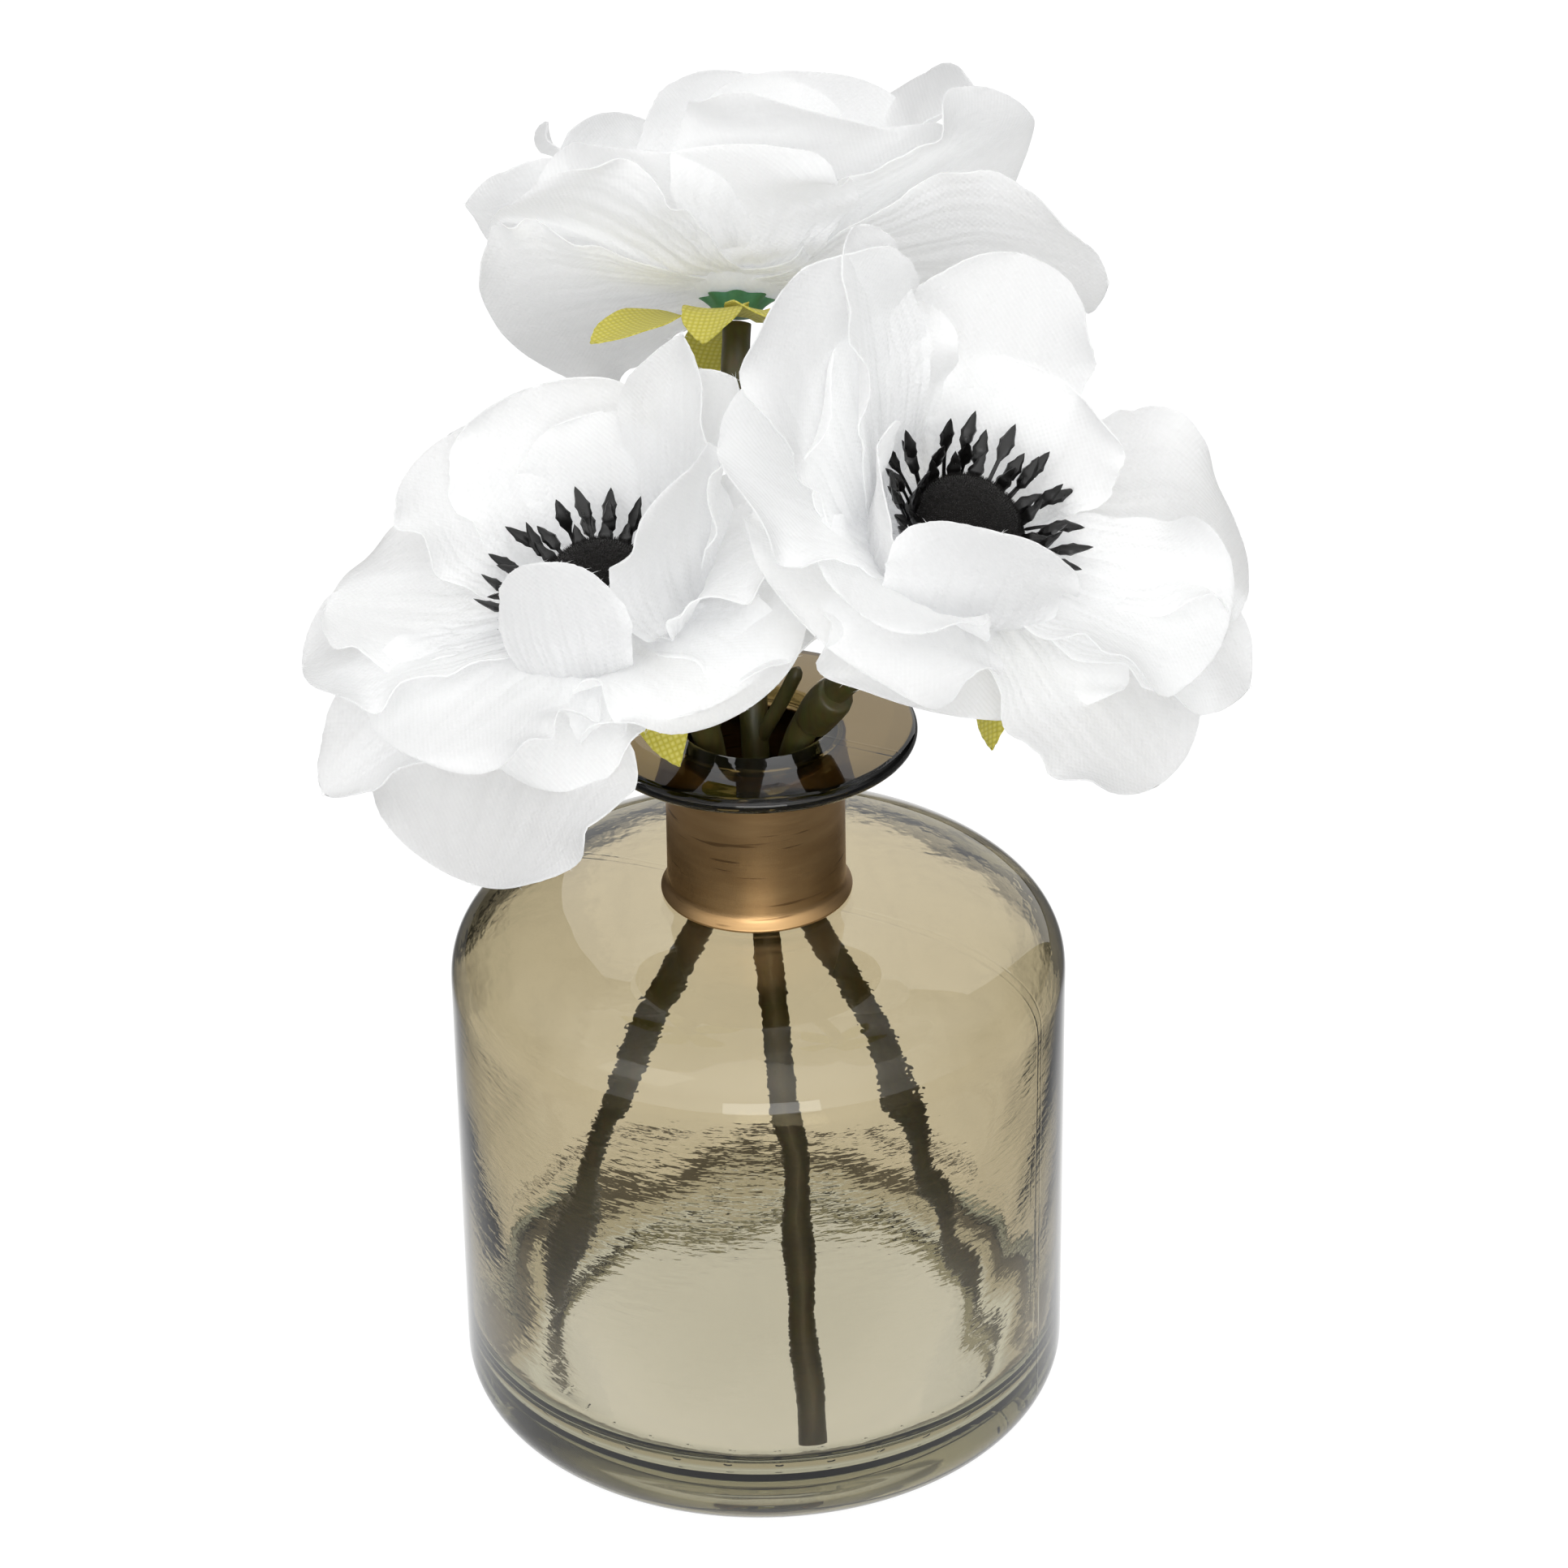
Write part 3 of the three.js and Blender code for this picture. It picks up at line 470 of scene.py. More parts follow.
# Each stem has five faint ribs and slow lumps round its section. The left and top ones
# have a side stub that ends bluntly, and the right one a swollen joint ring.
for name, route in ROUTES.items():
    axis = turned_to(name)[2]
    top = [np.array(CENTRES[name]) + axis * (STEM_TOP - back) for back in (STEM_STRAIGHT, 0)]
    path = curve_through([*route, *top], 26)
    run = np.linspace(0, 1, len(path))[:, None]
    angle = np.arange(STEM_SIDES) * 2 * np.pi / STEM_SIDES
    ribs = 0.05 * np.cos(5 * angle + 9 * run) + 0.06 * np.sin(31 * run + 2 * angle)
    shells = [tube(path, STEM_RADIUS - 0.08 + ribs, STEM_SIDES)]
    twig = curve_through(TWIGS[name], 10)
    along = np.linspace(0, 1, len(twig))
    if name == "right":
        girth = STEM_RADIUS + 0.15 + JOINT_SWELL * np.clip(np.sin(np.pi * along), 0, 1) ** 0.35
    else:
        girth = TWIG_RADIUS * (1 - np.clip((along - 0.9) / 0.1, 0, 1) ** 2 * 0.7)
    shells.append(tube(twig, girth, TWIG_SIDES))
    make_piece(f"stem_{name}_moulded", shells, moulded, "stem_green", f"stem_{name}")


# Calyxes
# A small blue-green cup moulded in one piece, pushed up the stem right under the bloom
# and flared into short teeth.
CALYX_LOW = -7.85
CUP_SIDES = 64
TEETH = 8


def to_bouquet(points, name):
    """Carries points from a bloom's own frame to their place in the bouquet."""
    return points @ turned_to(name) + np.array(CENTRES[name])


# Matt plastic of a cool green, a little cloudy, the one blue-green note of the bouquet.
CLOUD = 2.4
cup_plastic, tree, out = new_material("matte_blue_green_plastic")
cloud, tone = mottled(tree, CLOUD, 3.0, "2f6e50", "67a07c")
grain = add_node(tree, "Bump", Strength=0.3, Distance=0.2 * MM, Height=cloud)
shader = add_node(tree, "BsdfPrincipled", Base_Color=tone, Roughness=0.55, Normal=grain)
tree.links.new(shader.outputs[0], out.inputs["Surface"])

# The cup's profile from its foot up over the rim and back, with how far teeth swell it.
cup_turn = np.arange(CUP_SIDES) * 2 * np.pi / CUP_SIDES
tooth = 0.5 + 0.5 * np.cos(TEETH * cup_turn)
rise = np.array([0, 0, 0.3, 1.0, 1.8, 2.4, 2.85, 2.9, 2.6, 2.5])
girth = np.array([0, 2.9, 3.3, 4.0, 4.7, 5.3, 5.8, 5.4, 4.0, 0])
spread = np.array([0, 0, 0, 0.1, 0.3, 0.8, 1.4, 1.3, 0, 0])
for name in CENTRES:
    cup = revolve(girth[:, None] + spread[:, None] * (tooth - 0.5), CALYX_LOW + rise, CUP_SIDES)
    shells = [(to_bouquet(cup, name), wrap_quads(len(rise), CUP_SIDES))]
    make_piece(f"calyx_{name}_cup", shells, cup_plastic, "calyx_green", f"calyx_{name}")


# Sepals
# Narrow pointed leaves stamped from an open net of yellow-green yarn, five to a bloom,
# threaded on the stem below the calyx.
MIDRIB_START = 2.5
CLOTH = 0.24
MAP_UNIT = 10
RIM_START = 0.72
OUT_OF_STEP = 2.1
FOLDS = 7
NICK = 0.03
FRAY = 0.09
SEPAL_ROWS = 26
SEPAL_COLUMNS = 12
# A blade's values, for sepals and petals alike: directions and slopes in degrees, sizes in
# mm, and shares of its length. Each row below gives what differs from these.
BLADE = {
    "az": 0, "len": 48, "wid": 40, "rise": 30, "bend": -20, "power": 1, "knee": 8, "flat": -2,
    "seat": 0, "rim": 0, "twist": 0, "cup": 25, "ruffle": 0, "waves": 1.5, "phase": 0,
    "full": 0.62, "tip": 0, "base": 0.25, "frill": 0, "pleats": 0,
}
SEPAL = {
    "wid": 10, "bend": -12, "knee": 9, "flat": -1, "cup": 18, "ruffle": 8, "full": 0.5,
    "tip": 0.8, "base": 0.5, "seat": -8.55,
}
SEPALS = {
    "left": [
        dict(az=292, len=25, rise=-46), dict(az=20, len=22, rise=-36), dict(az=92, len=22, rise=-30),
        dict(az=165, len=22, rise=-34), dict(az=236, len=22, rise=-44),
    ],
    "right": [
        dict(az=303, len=31, rise=-52, bend=-14), dict(az=350, len=22, rise=-40),
        dict(az=62, len=22, rise=-30), dict(az=134, len=22, rise=-30), dict(az=212, len=18, rise=-48),
    ],
    "top": [
        dict(az=204, len=25, rise=-10, wid=13, bend=-20, twist=-40),
        dict(az=252, len=18, rise=-46, wid=11),
        dict(az=292, len=14, rise=-20, wid=11), dict(az=336, len=18, rise=-30),
        dict(az=110, len=20, rise=-30),
    ],
}


def running_sum(values, axis):
    """Trapezoid integral over a unit range, starting at 0, along an axis."""
    mean = (np.delete(values, 0, axis) + np.delete(values, -1, axis)) / 2
    total = np.cumsum(mean, axis) / mean.shape[axis]
    return np.concatenate([np.zeros_like(np.take(total, [0], axis)), total], axis)


def midrib(p, u):
    """Reach, height and slope along the middle of a blade, with u 0 at its root and 1 at
    its tip.

    It leaves the stem at the slope flat, turns to rise at the knee, and then adds bend
    u^power and, past RIM_START, rim. Reach and height are the sums of the cosine and sine
    of that slope."""
    t = np.linspace(0, 1, 241)
    knee = ease((t * p["len"] - p["knee"] + 3) / 6)
    rim = ease((t - RIM_START) / (1 - RIM_START))
    slope = p["flat"] + (p["rise"] - p["flat"]) * knee + p["bend"] * t ** p["power"] + p["rim"] * rim
    slope = np.radians(slope)
    reach = MIDRIB_START + p["len"] * running_sum(np.cos(slope), 0)
    height = p["seat"] + p["len"] * running_sum(np.sin(slope), 0)
    return (np.interp(u, t, line)[:, None] for line in (reach, height, slope))


def half_blade(p, u, w, lag, luck):
    """How far half a blade reaches beside and above its midrib, w from 0 there to 1.

    The half width is wid / 2 times an outline that swells as a sine up to full and closes
    as a root of 1 - x^2 beyond, with shallow nicks and a random fray at the rim. Across,
    an angle cup w + ruffle w^1.3 sin(2 pi waves u + phase + lag) + frill w^4 sin(2 pi
    beat u + ...), each term growing from the root, is summed as the midrib's slope is."""
    beyond = np.clip((u - p["full"]) / (1 - p["full"]), 0, 1)
    swell = p["base"] + (1 - p["base"]) * np.sin(np.pi / 2 * np.clip(u / p["full"], 0, 1)) ** 1.25
    outline = np.where(u < p["full"], swell, (1 - beyond ** 2) ** (0.5 + 0.5 * p["tip"]))
    start = luck.uniform(0, 2 * np.pi)
    beat = luck.uniform(3.2, 4.6)
    nick = 1 + NICK * np.sin(2 * np.pi * beat * 0.8 * u + start) + 0.006 * np.sin(17 * beat * u)
    half = (p["wid"] / 2 * np.maximum(outline * nick, 0.03))[:, None]
    wave = np.sin(2 * np.pi * p["waves"] * u + np.radians(p["phase"]) + lag)
    frill = np.sin(2 * np.pi * beat * u + start) + 0.3 * np.sin(11 * beat * u + 2 * start)
    grow = ease((u - 0.15) / 0.6)
    angle = (p["cup"] * ease((u - 0.06) / 0.32)[:, None] * w
             + p["ruffle"] * (grow * wave)[:, None] * w ** 1.3
             + p["frill"] * (grow * frill)[:, None] * w ** 4)
    beside = half * running_sum(np.cos(np.radians(angle)), 1)
    above = half * running_sum(np.sin(np.radians(angle)), 1)
    fray = luck.normal(0, FRAY, len(u))[:, None] * (w == 1)
    return beside + fray, above


def blade(spec, rows, columns, seed):
    """Leaf or petal as a grid: u runs from root to tip, and v across from -1 to 1.

    The midrib stands in the plane of the direction az, and twist u turns the blade about
    it. Its halves spread from it and rise above it, their waves out of step, and pleats
    lift folds, cos(pi FOLDS v + ...), off the middle. Returns the points and two maps for
    patterns: (across, along) in mm, and (v, u)."""
    p = {**BLADE, **spec}
    luck = np.random.default_rng(seed)
    u = np.sin(np.linspace(0, np.pi / 2, rows + 1)) ** 1.15
    reach, height, slope = midrib(p, u)
    az = np.radians(p["az"])
    outward = np.array([np.cos(az), np.sin(az), 0])
    across = np.array([-np.sin(az), np.cos(az), 0])
    up = np.array([0.0, 0, 1])
    normal = np.cos(slope) * up - np.sin(slope) * outward
    turn = np.radians(p["twist"] * u)[:, None]
    side = np.cos(turn) * across + np.sin(turn) * normal
    lift = np.cos(turn) * normal - np.sin(turn) * across

    w = np.linspace(0, 1, columns // 2 + 1)
    left, left_above = half_blade(p, u, w, OUT_OF_STEP, luck)
    right, right_above = half_blade(p, u, w, 0, luck)
    away = np.concatenate([-left[:, :0:-1], right], 1)
    above = np.concatenate([left_above[:, :0:-1], right_above], 1)
    v = np.linspace(-1, 1, columns + 1)
    fold = 0.5 + 0.5 * np.cos(np.pi * FOLDS * v + 0.9 * np.sin(2.5 * u[:, None] + seed))
    above = above + p["pleats"] * (1 - v ** 2) * np.sin(np.pi * u ** 0.7)[:, None] * fold
    rib = reach * outward + height * up
    points = rib[:, None] + away[..., None] * side[:, None] + above[..., None] * lift[:, None]
    weave = np.stack([away, np.broadcast_to(u[:, None] * p["len"], away.shape)], -1)
    fan = np.stack(np.broadcast_arrays(v[None], u[:, None]), -1)
    return points, weave, fan


def cloth_shell(points, thickness):
    """Gives a grid of points two faces, half the thickness to each side along the grid's
    normal, and closes them round the rim. Returns the points and faces."""
    rows, columns = points.shape[:2]
    normal = np.cross(np.gradient(points, axis=0), np.gradient(points, axis=1))
    normal /= np.maximum(np.linalg.norm(normal, axis=-1, keepdims=True), 1e-9)
    both = np.stack([points + normal * thickness / 2, points - normal * thickness / 2])
    at = np.arange(both.size // 3).reshape(2, rows, columns)
    front = np.stack([at[0, :-1, :-1], at[0, 1:, :-1], at[0, 1:, 1:], at[0, :-1, 1:]], -1)
    rear = np.stack([at[1, :-1, :-1], at[1, :-1, 1:], at[1, 1:, 1:], at[1, 1:, :-1]], -1)
    loop = np.concatenate([at[:, 0, :-1], at[:, :-1, -1], at[:, -1, :0:-1], at[:, :0:-1, 0]], 1)
    ahead = np.roll(loop, -1, 1)
    edge = np.stack([loop[0], ahead[0], ahead[1], loop[1]], -1)
    return both, np.concatenate([front.reshape(-1, 4), rear.reshape(-1, 4), edge])


def cloth_piece(title, name, blades, shells, material, slot, node):
    """Makes one object of all the blades of a bloom, with their cloth and vein maps, and
    any further shells, which are given a plain map."""
    parts, weaves, fans = [], [], []
    for points, weave, fan in blades:
        parts.append(cloth_shell(to_bouquet(points, name), CLOTH))
        weaves += [weave.reshape(-1, 2)] * 2
        fans += [fan.reshape(-1, 2)] * 2
    for points, faces in shells:
        flat = points.reshape(-1, 3)
        parts.append((to_bouquet(points, name), faces))
        weaves.append(flat[:, [0, 2]])
        fans.append(np.zeros((len(flat), 2)))
    maps = {"weave": np.concatenate(weaves) / MAP_UNIT, "fan": np.concatenate(fans)}
    make_piece(title, parts, material, slot, node, crease=60, maps=maps)


def woven(tree, thread):
    """Plain weave for a material: sin(pi x / thread) sin(pi y / thread) in the piece's
    cloth map, whose unit is MAP_UNIT mm. Returns the node that gives the height."""
    cloth = add_node(tree, "UVMap", uv_map="weave")
    turns = add_node(tree, "VectorMath", operation="MULTIPLY", i0=cloth,
                     i1=(np.pi * MAP_UNIT / thread, np.pi * MAP_UNIT / thread, 0))
    waves = add_node(tree, "VectorMath", operation="SINE", i0=turns)
    yarns = add_node(tree, "SeparateXYZ", Vector=waves)
    return add_node(tree, "Math", operation="MULTIPLY", i0=yarns, i1=yarns.outputs[1])


# Open net of yellow-green yarn: lighter knots on darker gaps, with light through it. The
# yarn is drawn twice its real width so that the net shows in a picture this size.
YARN = 0.9
net, tree, out = new_material("yellow_green_yarn_net")
height = woven(tree, YARN)
knots = add_node(tree, "Math", operation="ABSOLUTE", i0=height)
tone = add_node(tree, "Mix", data_type="RGBA", Factor=knots,
                i6=linear("d8cc48"), i7=linear("f8ee84"))
grain = add_node(tree, "Bump", Strength=0.8, Distance=0.2 * MM, Height=knots)
shader = add_node(tree, "BsdfPrincipled", Base_Color=tone.outputs[2], Roughness=0.8,
                  Sheen_Weight=0.2, Normal=grain)
glow = add_node(tree, "BsdfTranslucent", Color=linear("dfe06a"))
both = add_node(tree, "MixShader", Fac=0.3, i1=shader, i2=glow)
tree.links.new(both.outputs[0], out.inputs["Surface"])

for name, leaves in SEPALS.items():
    stamped = [{**SEPAL, **leaf} for leaf in leaves]
    blades = [blade(leaf, SEPAL_ROWS, SEPAL_COLUMNS, k) for k, leaf in enumerate(stamped)]
    cloth_piece(f"sepal_net_{name}", name, blades, [], net, "sepal_fabric", f"sepals_{name}")


# Petals
# White woven polyester, cut with a hot die and pressed over a heated form that leaves
# fanned veins and pleats; the cut rims fray a little. They overlap in several rows.
PETALS = {
    "left": [
        dict(az=185, len=47, wid=38, rise=10, bend=-14, cup=14, ruffle=16, seat=-1, twist=6,
             full=0.66, phase=200),
        dict(az=167, len=44, wid=40, rise=16, bend=-14, cup=14, ruffle=16, seat=-2.4, full=0.68,
             phase=320),
        dict(az=129, len=40, wid=37, rise=46, bend=-8, cup=20, ruffle=16, seat=-1, knee=11,
             full=0.7, phase=90),
        dict(az=101, len=41, wid=38, rise=58, bend=-6, cup=22, ruffle=14, seat=-2, knee=11,
             full=0.7, phase=150),
        dict(az=80, len=34, wid=30, rise=62, bend=4, cup=24, ruffle=16, seat=-0.8, knee=12,
             full=0.72, phase=250),
        dict(az=38, len=51, wid=26, rise=77, bend=-6, cup=32, ruffle=20, seat=-1.2, tip=0.8,
             knee=13, full=0.6),
        dict(az=22, len=46, wid=30, rise=64, bend=-4, cup=34, ruffle=16, seat=-2.4, knee=11,
             full=0.7, phase=300),
        dict(az=336, len=42, wid=34, rise=96, bend=-24, cup=20, ruffle=18, seat=-0.8, knee=14,
             full=0.72, twist=-12),
        dict(az=352, len=36, wid=34, rise=82, bend=-96, power=1.5, cup=22, ruffle=24, seat=-2,
             knee=12, phase=60),
        dict(az=308, len=36, wid=42, rise=50, bend=-80, cup=18, ruffle=24, seat=-1.5, rim=-25,
             knee=11),
        dict(az=343, len=36, wid=38, rise=14, bend=-28, cup=15, ruffle=20, seat=-3.5, full=0.68,
             phase=140),
        dict(az=298, len=33, wid=38, rise=40, bend=-60, cup=6, ruffle=24, seat=-1, knee=12,
             full=0.7, phase=150),
        dict(az=256, len=36, wid=28, rise=16, bend=-48, cup=0, ruffle=26, seat=-2.6, rim=-26,
             full=0.7, phase=20),
        dict(az=228, len=42, wid=44, rise=24, bend=-38, cup=2, ruffle=26, seat=-2, phase=60,
             full=0.68),
        dict(az=203, len=52, wid=26, rise=6, bend=-34, cup=25, ruffle=30, seat=-3, twist=-25,
             tip=0.4),
        dict(az=234, len=49, wid=52, rise=0, bend=-52, cup=10, ruffle=12, seat=-4, twist=6,
             full=0.68, phase=330),
        dict(az=258, len=41, wid=22, rise=99, bend=-10, cup=24, ruffle=4, seat=-1.2, knee=18,
             full=0.66, frill=4),
    ],
    "right": [
        dict(az=276, len=28, wid=52, rise=6, bend=-34, cup=6, ruffle=18, seat=-3, twist=-8,
             full=0.66, phase=40),
        dict(az=228, len=32, wid=48, rise=36, bend=-50, cup=12, ruffle=22, seat=-2, rim=-12,
             full=0.68, phase=110),
        dict(az=315, len=47, wid=36, rise=0, bend=-20, cup=12, ruffle=14, seat=-4, full=0.7,
             phase=200),
        dict(az=342, len=49, wid=32, rise=9, bend=-25, cup=18, ruffle=25, seat=-3.2, full=0.62,
             tip=0.3),
        dict(az=14, len=49, wid=44, rise=26, bend=-42, cup=12, ruffle=26, seat=-2, rim=-24,
             tip=0.3, phase=20),
        dict(az=84, len=48, wid=31, rise=57, bend=-8, cup=20, ruffle=18, seat=-2, twist=-10,
             knee=11, full=0.7, phase=270),
        dict(az=62, len=31, wid=34, rise=50, bend=5, cup=22, ruffle=18, seat=-1, knee=11,
             full=0.72, phase=150),
        dict(az=154, len=45, wid=40, rise=74, bend=-12, cup=28, ruffle=20, seat=-1, twist=-14,
             knee=13, full=0.72, phase=320),
        dict(az=150, len=62, wid=24, rise=72, bend=-8, cup=35, ruffle=22, seat=-2, full=0.6,
             knee=11, phase=90),
        dict(az=184, len=44, wid=38, rise=54, bend=-38, cup=22, ruffle=24, seat=-1.6, rim=-15,
             knee=11, full=0.68, phase=210),
        dict(az=338, len=42, wid=38, rise=22, bend=-26, cup=20, ruffle=34, seat=-1.2, full=0.68),
        dict(az=200, len=39, wid=22, rise=90, bend=-18, cup=30, seat=-0.8, knee=13, full=0.75,
             frill=4, twist=-30),
        dict(az=236, len=36, wid=32, rise=76, bend=-70, power=1.3, cup=22, ruffle=22, seat=-0.8,
             knee=13, phase=60),
        dict(az=268, len=40, wid=30, rise=97, bend=-12, cup=14, ruffle=20, seat=-1, knee=16,
             full=0.7, phase=180),
        dict(az=164, len=61, wid=40, rise=68, bend=-10, cup=20, ruffle=20, seat=-2.6, twist=-35,
             knee=11, full=0.7, phase=130),
    ],
    "top": [
        dict(az=308, len=41, wid=60, rise=48, bend=-8, cup=18, ruffle=30, rim=-20, seat=-0.8,
             base=0.4, full=0.7, knee=12, pleats=0.6, waves=1.2, phase=30),
        dict(az=212, len=42, wid=42, rise=30, bend=-22, cup=18, ruffle=18, rim=-12, seat=-2.2,
             base=0.4, full=0.68, knee=11, pleats=1.0),
        dict(az=250, len=35, wid=56, rise=48, bend=-14, cup=18, ruffle=22, rim=-12, seat=-1.4,
             base=0.4, full=0.68, knee=12, pleats=0.5, phase=200),
        dict(az=182, len=45, wid=34, rise=24, bend=-10, cup=25, ruffle=22, seat=-1.4, twist=15,
             tip=0.4, phase=40),
        dict(az=162, len=40, wid=52, rise=0, bend=-14, cup=6, ruffle=12, seat=-3, twist=22,
             full=0.66, phase=90),
        dict(az=147, len=50, wid=38, rise=50, bend=0, cup=25, ruffle=20, seat=-1, rim=-30, tip=0.4,
             knee=11),
        dict(az=90, len=58, wid=37, rise=74, bend=-4, cup=20, ruffle=24, seat=-0.8, knee=12,
             full=0.7, phase=310),
        dict(az=64, len=59, wid=40, rise=72, bend=-4, cup=20, ruffle=26, seat=-1.2, twist=15,
             knee=12, full=0.7),
        dict(az=34, len=60, wid=46, rise=66, bend=-8, cup=20, ruffle=28, seat=-1.8, knee=11,
             full=0.7, phase=70),
        dict(az=348, len=56, wid=46, rise=42, bend=-8, cup=20, ruffle=30, seat=-2.4, base=0.4,
             knee=11, full=0.7, phase=160),
        dict(az=350, len=60, wid=44, rise=16, bend=-28, cup=15, ruffle=22, seat=-3.2, twist=-30,
             tip=0.3),
        dict(az=120, len=52, wid=40, rise=66, bend=-6, cup=20, ruffle=24, seat=-1.4, knee=12,
             full=0.7, phase=230),
    ],
}
FRILL = 20
PLEATS = 0.35
PETAL_ROWS = 52
PETAL_COLUMNS = 40
HUB_SIDES = 40
HAIRS = 90
HAIR_LENGTH = 0.45
HAIR_SHORTEST = 0.15
HAIR_LONGEST = 1.6
HAIR_RADIUS = 0.045
HAIR_STRAY = 0.45
ROOTED = 0.15
CUT_START = 18


def hairs(roots, lean, length, radius, luck):
    """Three-sided tapering hairs from each root along its lean: a closed foot ROOTED mm
    back, a ring of the radius there, and a tip at the length. Returns an array of hair,
    ring and corner, and the faces."""
    lean = lean / np.linalg.norm(lean, axis=1, keepdims=True)
    side = np.cross(lean, luck.normal(0, 1, roots.shape))
    side *= radius / np.linalg.norm(side, axis=1, keepdims=True)
    other = np.cross(lean, side)
    tips = np.repeat((roots + lean * length)[:, None], 3, 1)
    feet = np.repeat((roots - lean * ROOTED)[:, None], 3, 1)
    ring = np.stack([side, -0.5 * side + 0.87 * other, -0.5 * side - 0.87 * other], 1)
    corners = wrap_quads(3, 3) + (np.arange(len(roots)) * 9)[:, None, None]
    return np.stack([feet, feet + ring, tips], 1), corners.reshape(-1, 4)


def frayed(points, luck):
    """Loose yarn ends at random places of a blade's rim from grid row CUT_START on, each
    pointing outward and a bit astray, with lengths of an exponential spread."""
    rim = np.concatenate([points[CUT_START:, 0], points[-1, 1:-1], points[:CUT_START:-1, -1]])
    within = np.concatenate([points[CUT_START:, 1], points[-2, 1:-1], points[:CUT_START:-1, -2]])
    pick = luck.integers(0, len(rim), HAIRS)
    outward = rim[pick] - within[pick]
    outward /= np.maximum(np.linalg.norm(outward, axis=1, keepdims=True), 1e-6)
    lean = outward + luck.normal(0, HAIR_STRAY, outward.shape)
    length = np.clip(luck.exponential(HAIR_LENGTH, (HAIRS, 1)), HAIR_SHORTEST, HAIR_LONGEST)
    return hairs(rim[pick], lean, length, HAIR_RADIUS, luck)


# Heat-formed white polyester weave: matt and a little cool, with light through it, fine
# threads, and veins pressed in fans from the root that fade toward the rim. The thread
# is drawn half again its real width so that the weave shows in a picture this size. The
# cloth also gives a faint light of its own, set to match the photograph: it stands for
# the brightener in white polyester and for light passed on between petals.
THREAD = 0.5
VEINS = 7.6
VEIN_DRIFT = 4.0
CREASE = 16.0
petal_cloth, tree, out = new_material("heat_formed_white_polyester_weave")
threads = woven(tree, THREAD)
fan = add_node(tree, "UVMap", uv_map="fan")
spread = add_node(tree, "SeparateXYZ", Vector=fan)
drift = add_node(tree, "TexNoise", Vector=fan, Scale=VEIN_DRIFT, Detail=1.0)
swing = add_node(tree, "Math", operation="MULTIPLY_ADD", i0=drift, i1=0.25, i2=spread)
beat = add_node(tree, "Math", operation="PINGPONG", i0=swing, i1=1 / (2 * VEINS))
fade = add_node(tree, "MapRange", Value=spread.outputs[1], From_Min=0.95, From_Max=0.25,
                To_Max=2 * VEINS)
ridges = add_node(tree, "Math", operation="MULTIPLY", i0=beat, i1=fade)
_, tone = mottled(tree, CREASE, 2.0, "f8f8f8", "fefefe")
formed = add_node(tree, "Bump", Strength=0.7, Distance=0.4 * MM, Height=ridges)
grain = add_node(tree, "Bump", Strength=0.5, Distance=0.08 * MM, Height=threads, Normal=formed)
shader = add_node(tree, "BsdfPrincipled", Base_Color=tone, Roughness=0.85,
                  Sheen_Weight=0.15, Sheen_Roughness=0.4, Specular_IOR_Level=0.25, Normal=grain,
                  Emission_Color=linear("f6f8ff"), Emission_Strength=0.19)
glow = add_node(tree, "BsdfTranslucent", Color=linear("fdfdfc"), Normal=grain)
both = add_node(tree, "MixShader", Fac=0.65, i1=shader, i2=glow)
tree.links.new(both.outputs[0], out.inputs["Surface"])

# The hub that carries the blades, as radius and height down from its top.
HUB = [[0, 1.0], [7.2, 0.9], [8.0, 0.3], [8.2, -1.5], [7.0, -3.6], [5.4, -4.6], [0, -4.6]]
hub_radii, hub_heights = np.array(HUB).T
for name, petals in PETALS.items():
    pressed = [{"frill": FRILL, "pleats": PLEATS, **petal} for petal in petals]
    blades = [blade(petal, PETAL_ROWS, PETAL_COLUMNS, 10 + k) for k, petal in enumerate(pressed)]
    luck = np.random.default_rng(40)
    ends = [frayed(points, luck) for points, _, _ in blades]
    core = (revolve(hub_radii, hub_heights, HUB_SIDES)[::-1], wrap_quads(len(HUB), HUB_SIDES))
    cloth_piece(f"petal_cloth_{name}", name, blades, [core, *ends], petal_cloth, "petal_fabric",
                f"petals_{name}")


# Domes
# The seed head: a moulded button covered in black nylon flock, so dark and matte that
# only its short fibres catch light.
DISC_RADIUS = 8.3
DISC_HEIGHT = 6.0
DISC_SEAT = 2.6
DISC_EDGE = 0.3
DOME_SIDES = 64
DOME_ROWS = 22
FIBRES = 2600
FIBRE_RADIUS = 0.075
GOLDEN_TURN = 2.39996

# Flocked black: nearly no shine, a speckle of slightly lighter fibre ends.
NAP = 0.55
flock, tree, out = new_material("black_nylon_flock")
nap, tone = mottled(tree, NAP, 2.0, "060606", "262422")
grain = add_node(tree, "Bump", Strength=0.8, Distance=0.3 * MM, Height=nap)
shader = add_node(tree, "BsdfPrincipled", Base_Color=tone, Roughness=0.95,
                  Sheen_Weight=0.12, Specular_IOR_Level=0.2, Normal=grain)
tree.links.new(shader.outputs[0], out.inputs["Surface"])


def dome_point(polar, around):
    """Point on the button: half an ellipsoid on a low straight edge, DISC_RADIUS in radius
    and DISC_HEIGHT high with its edge, at a polar angle and an angle around."""
    flat = DISC_RADIUS * np.sin(polar)
    height = DISC_SEAT + DISC_EDGE + (DISC_HEIGHT - DISC_EDGE) * np.cos(polar)
    return np.stack([flat * np.cos(around), flat * np.sin(around), height], -1)


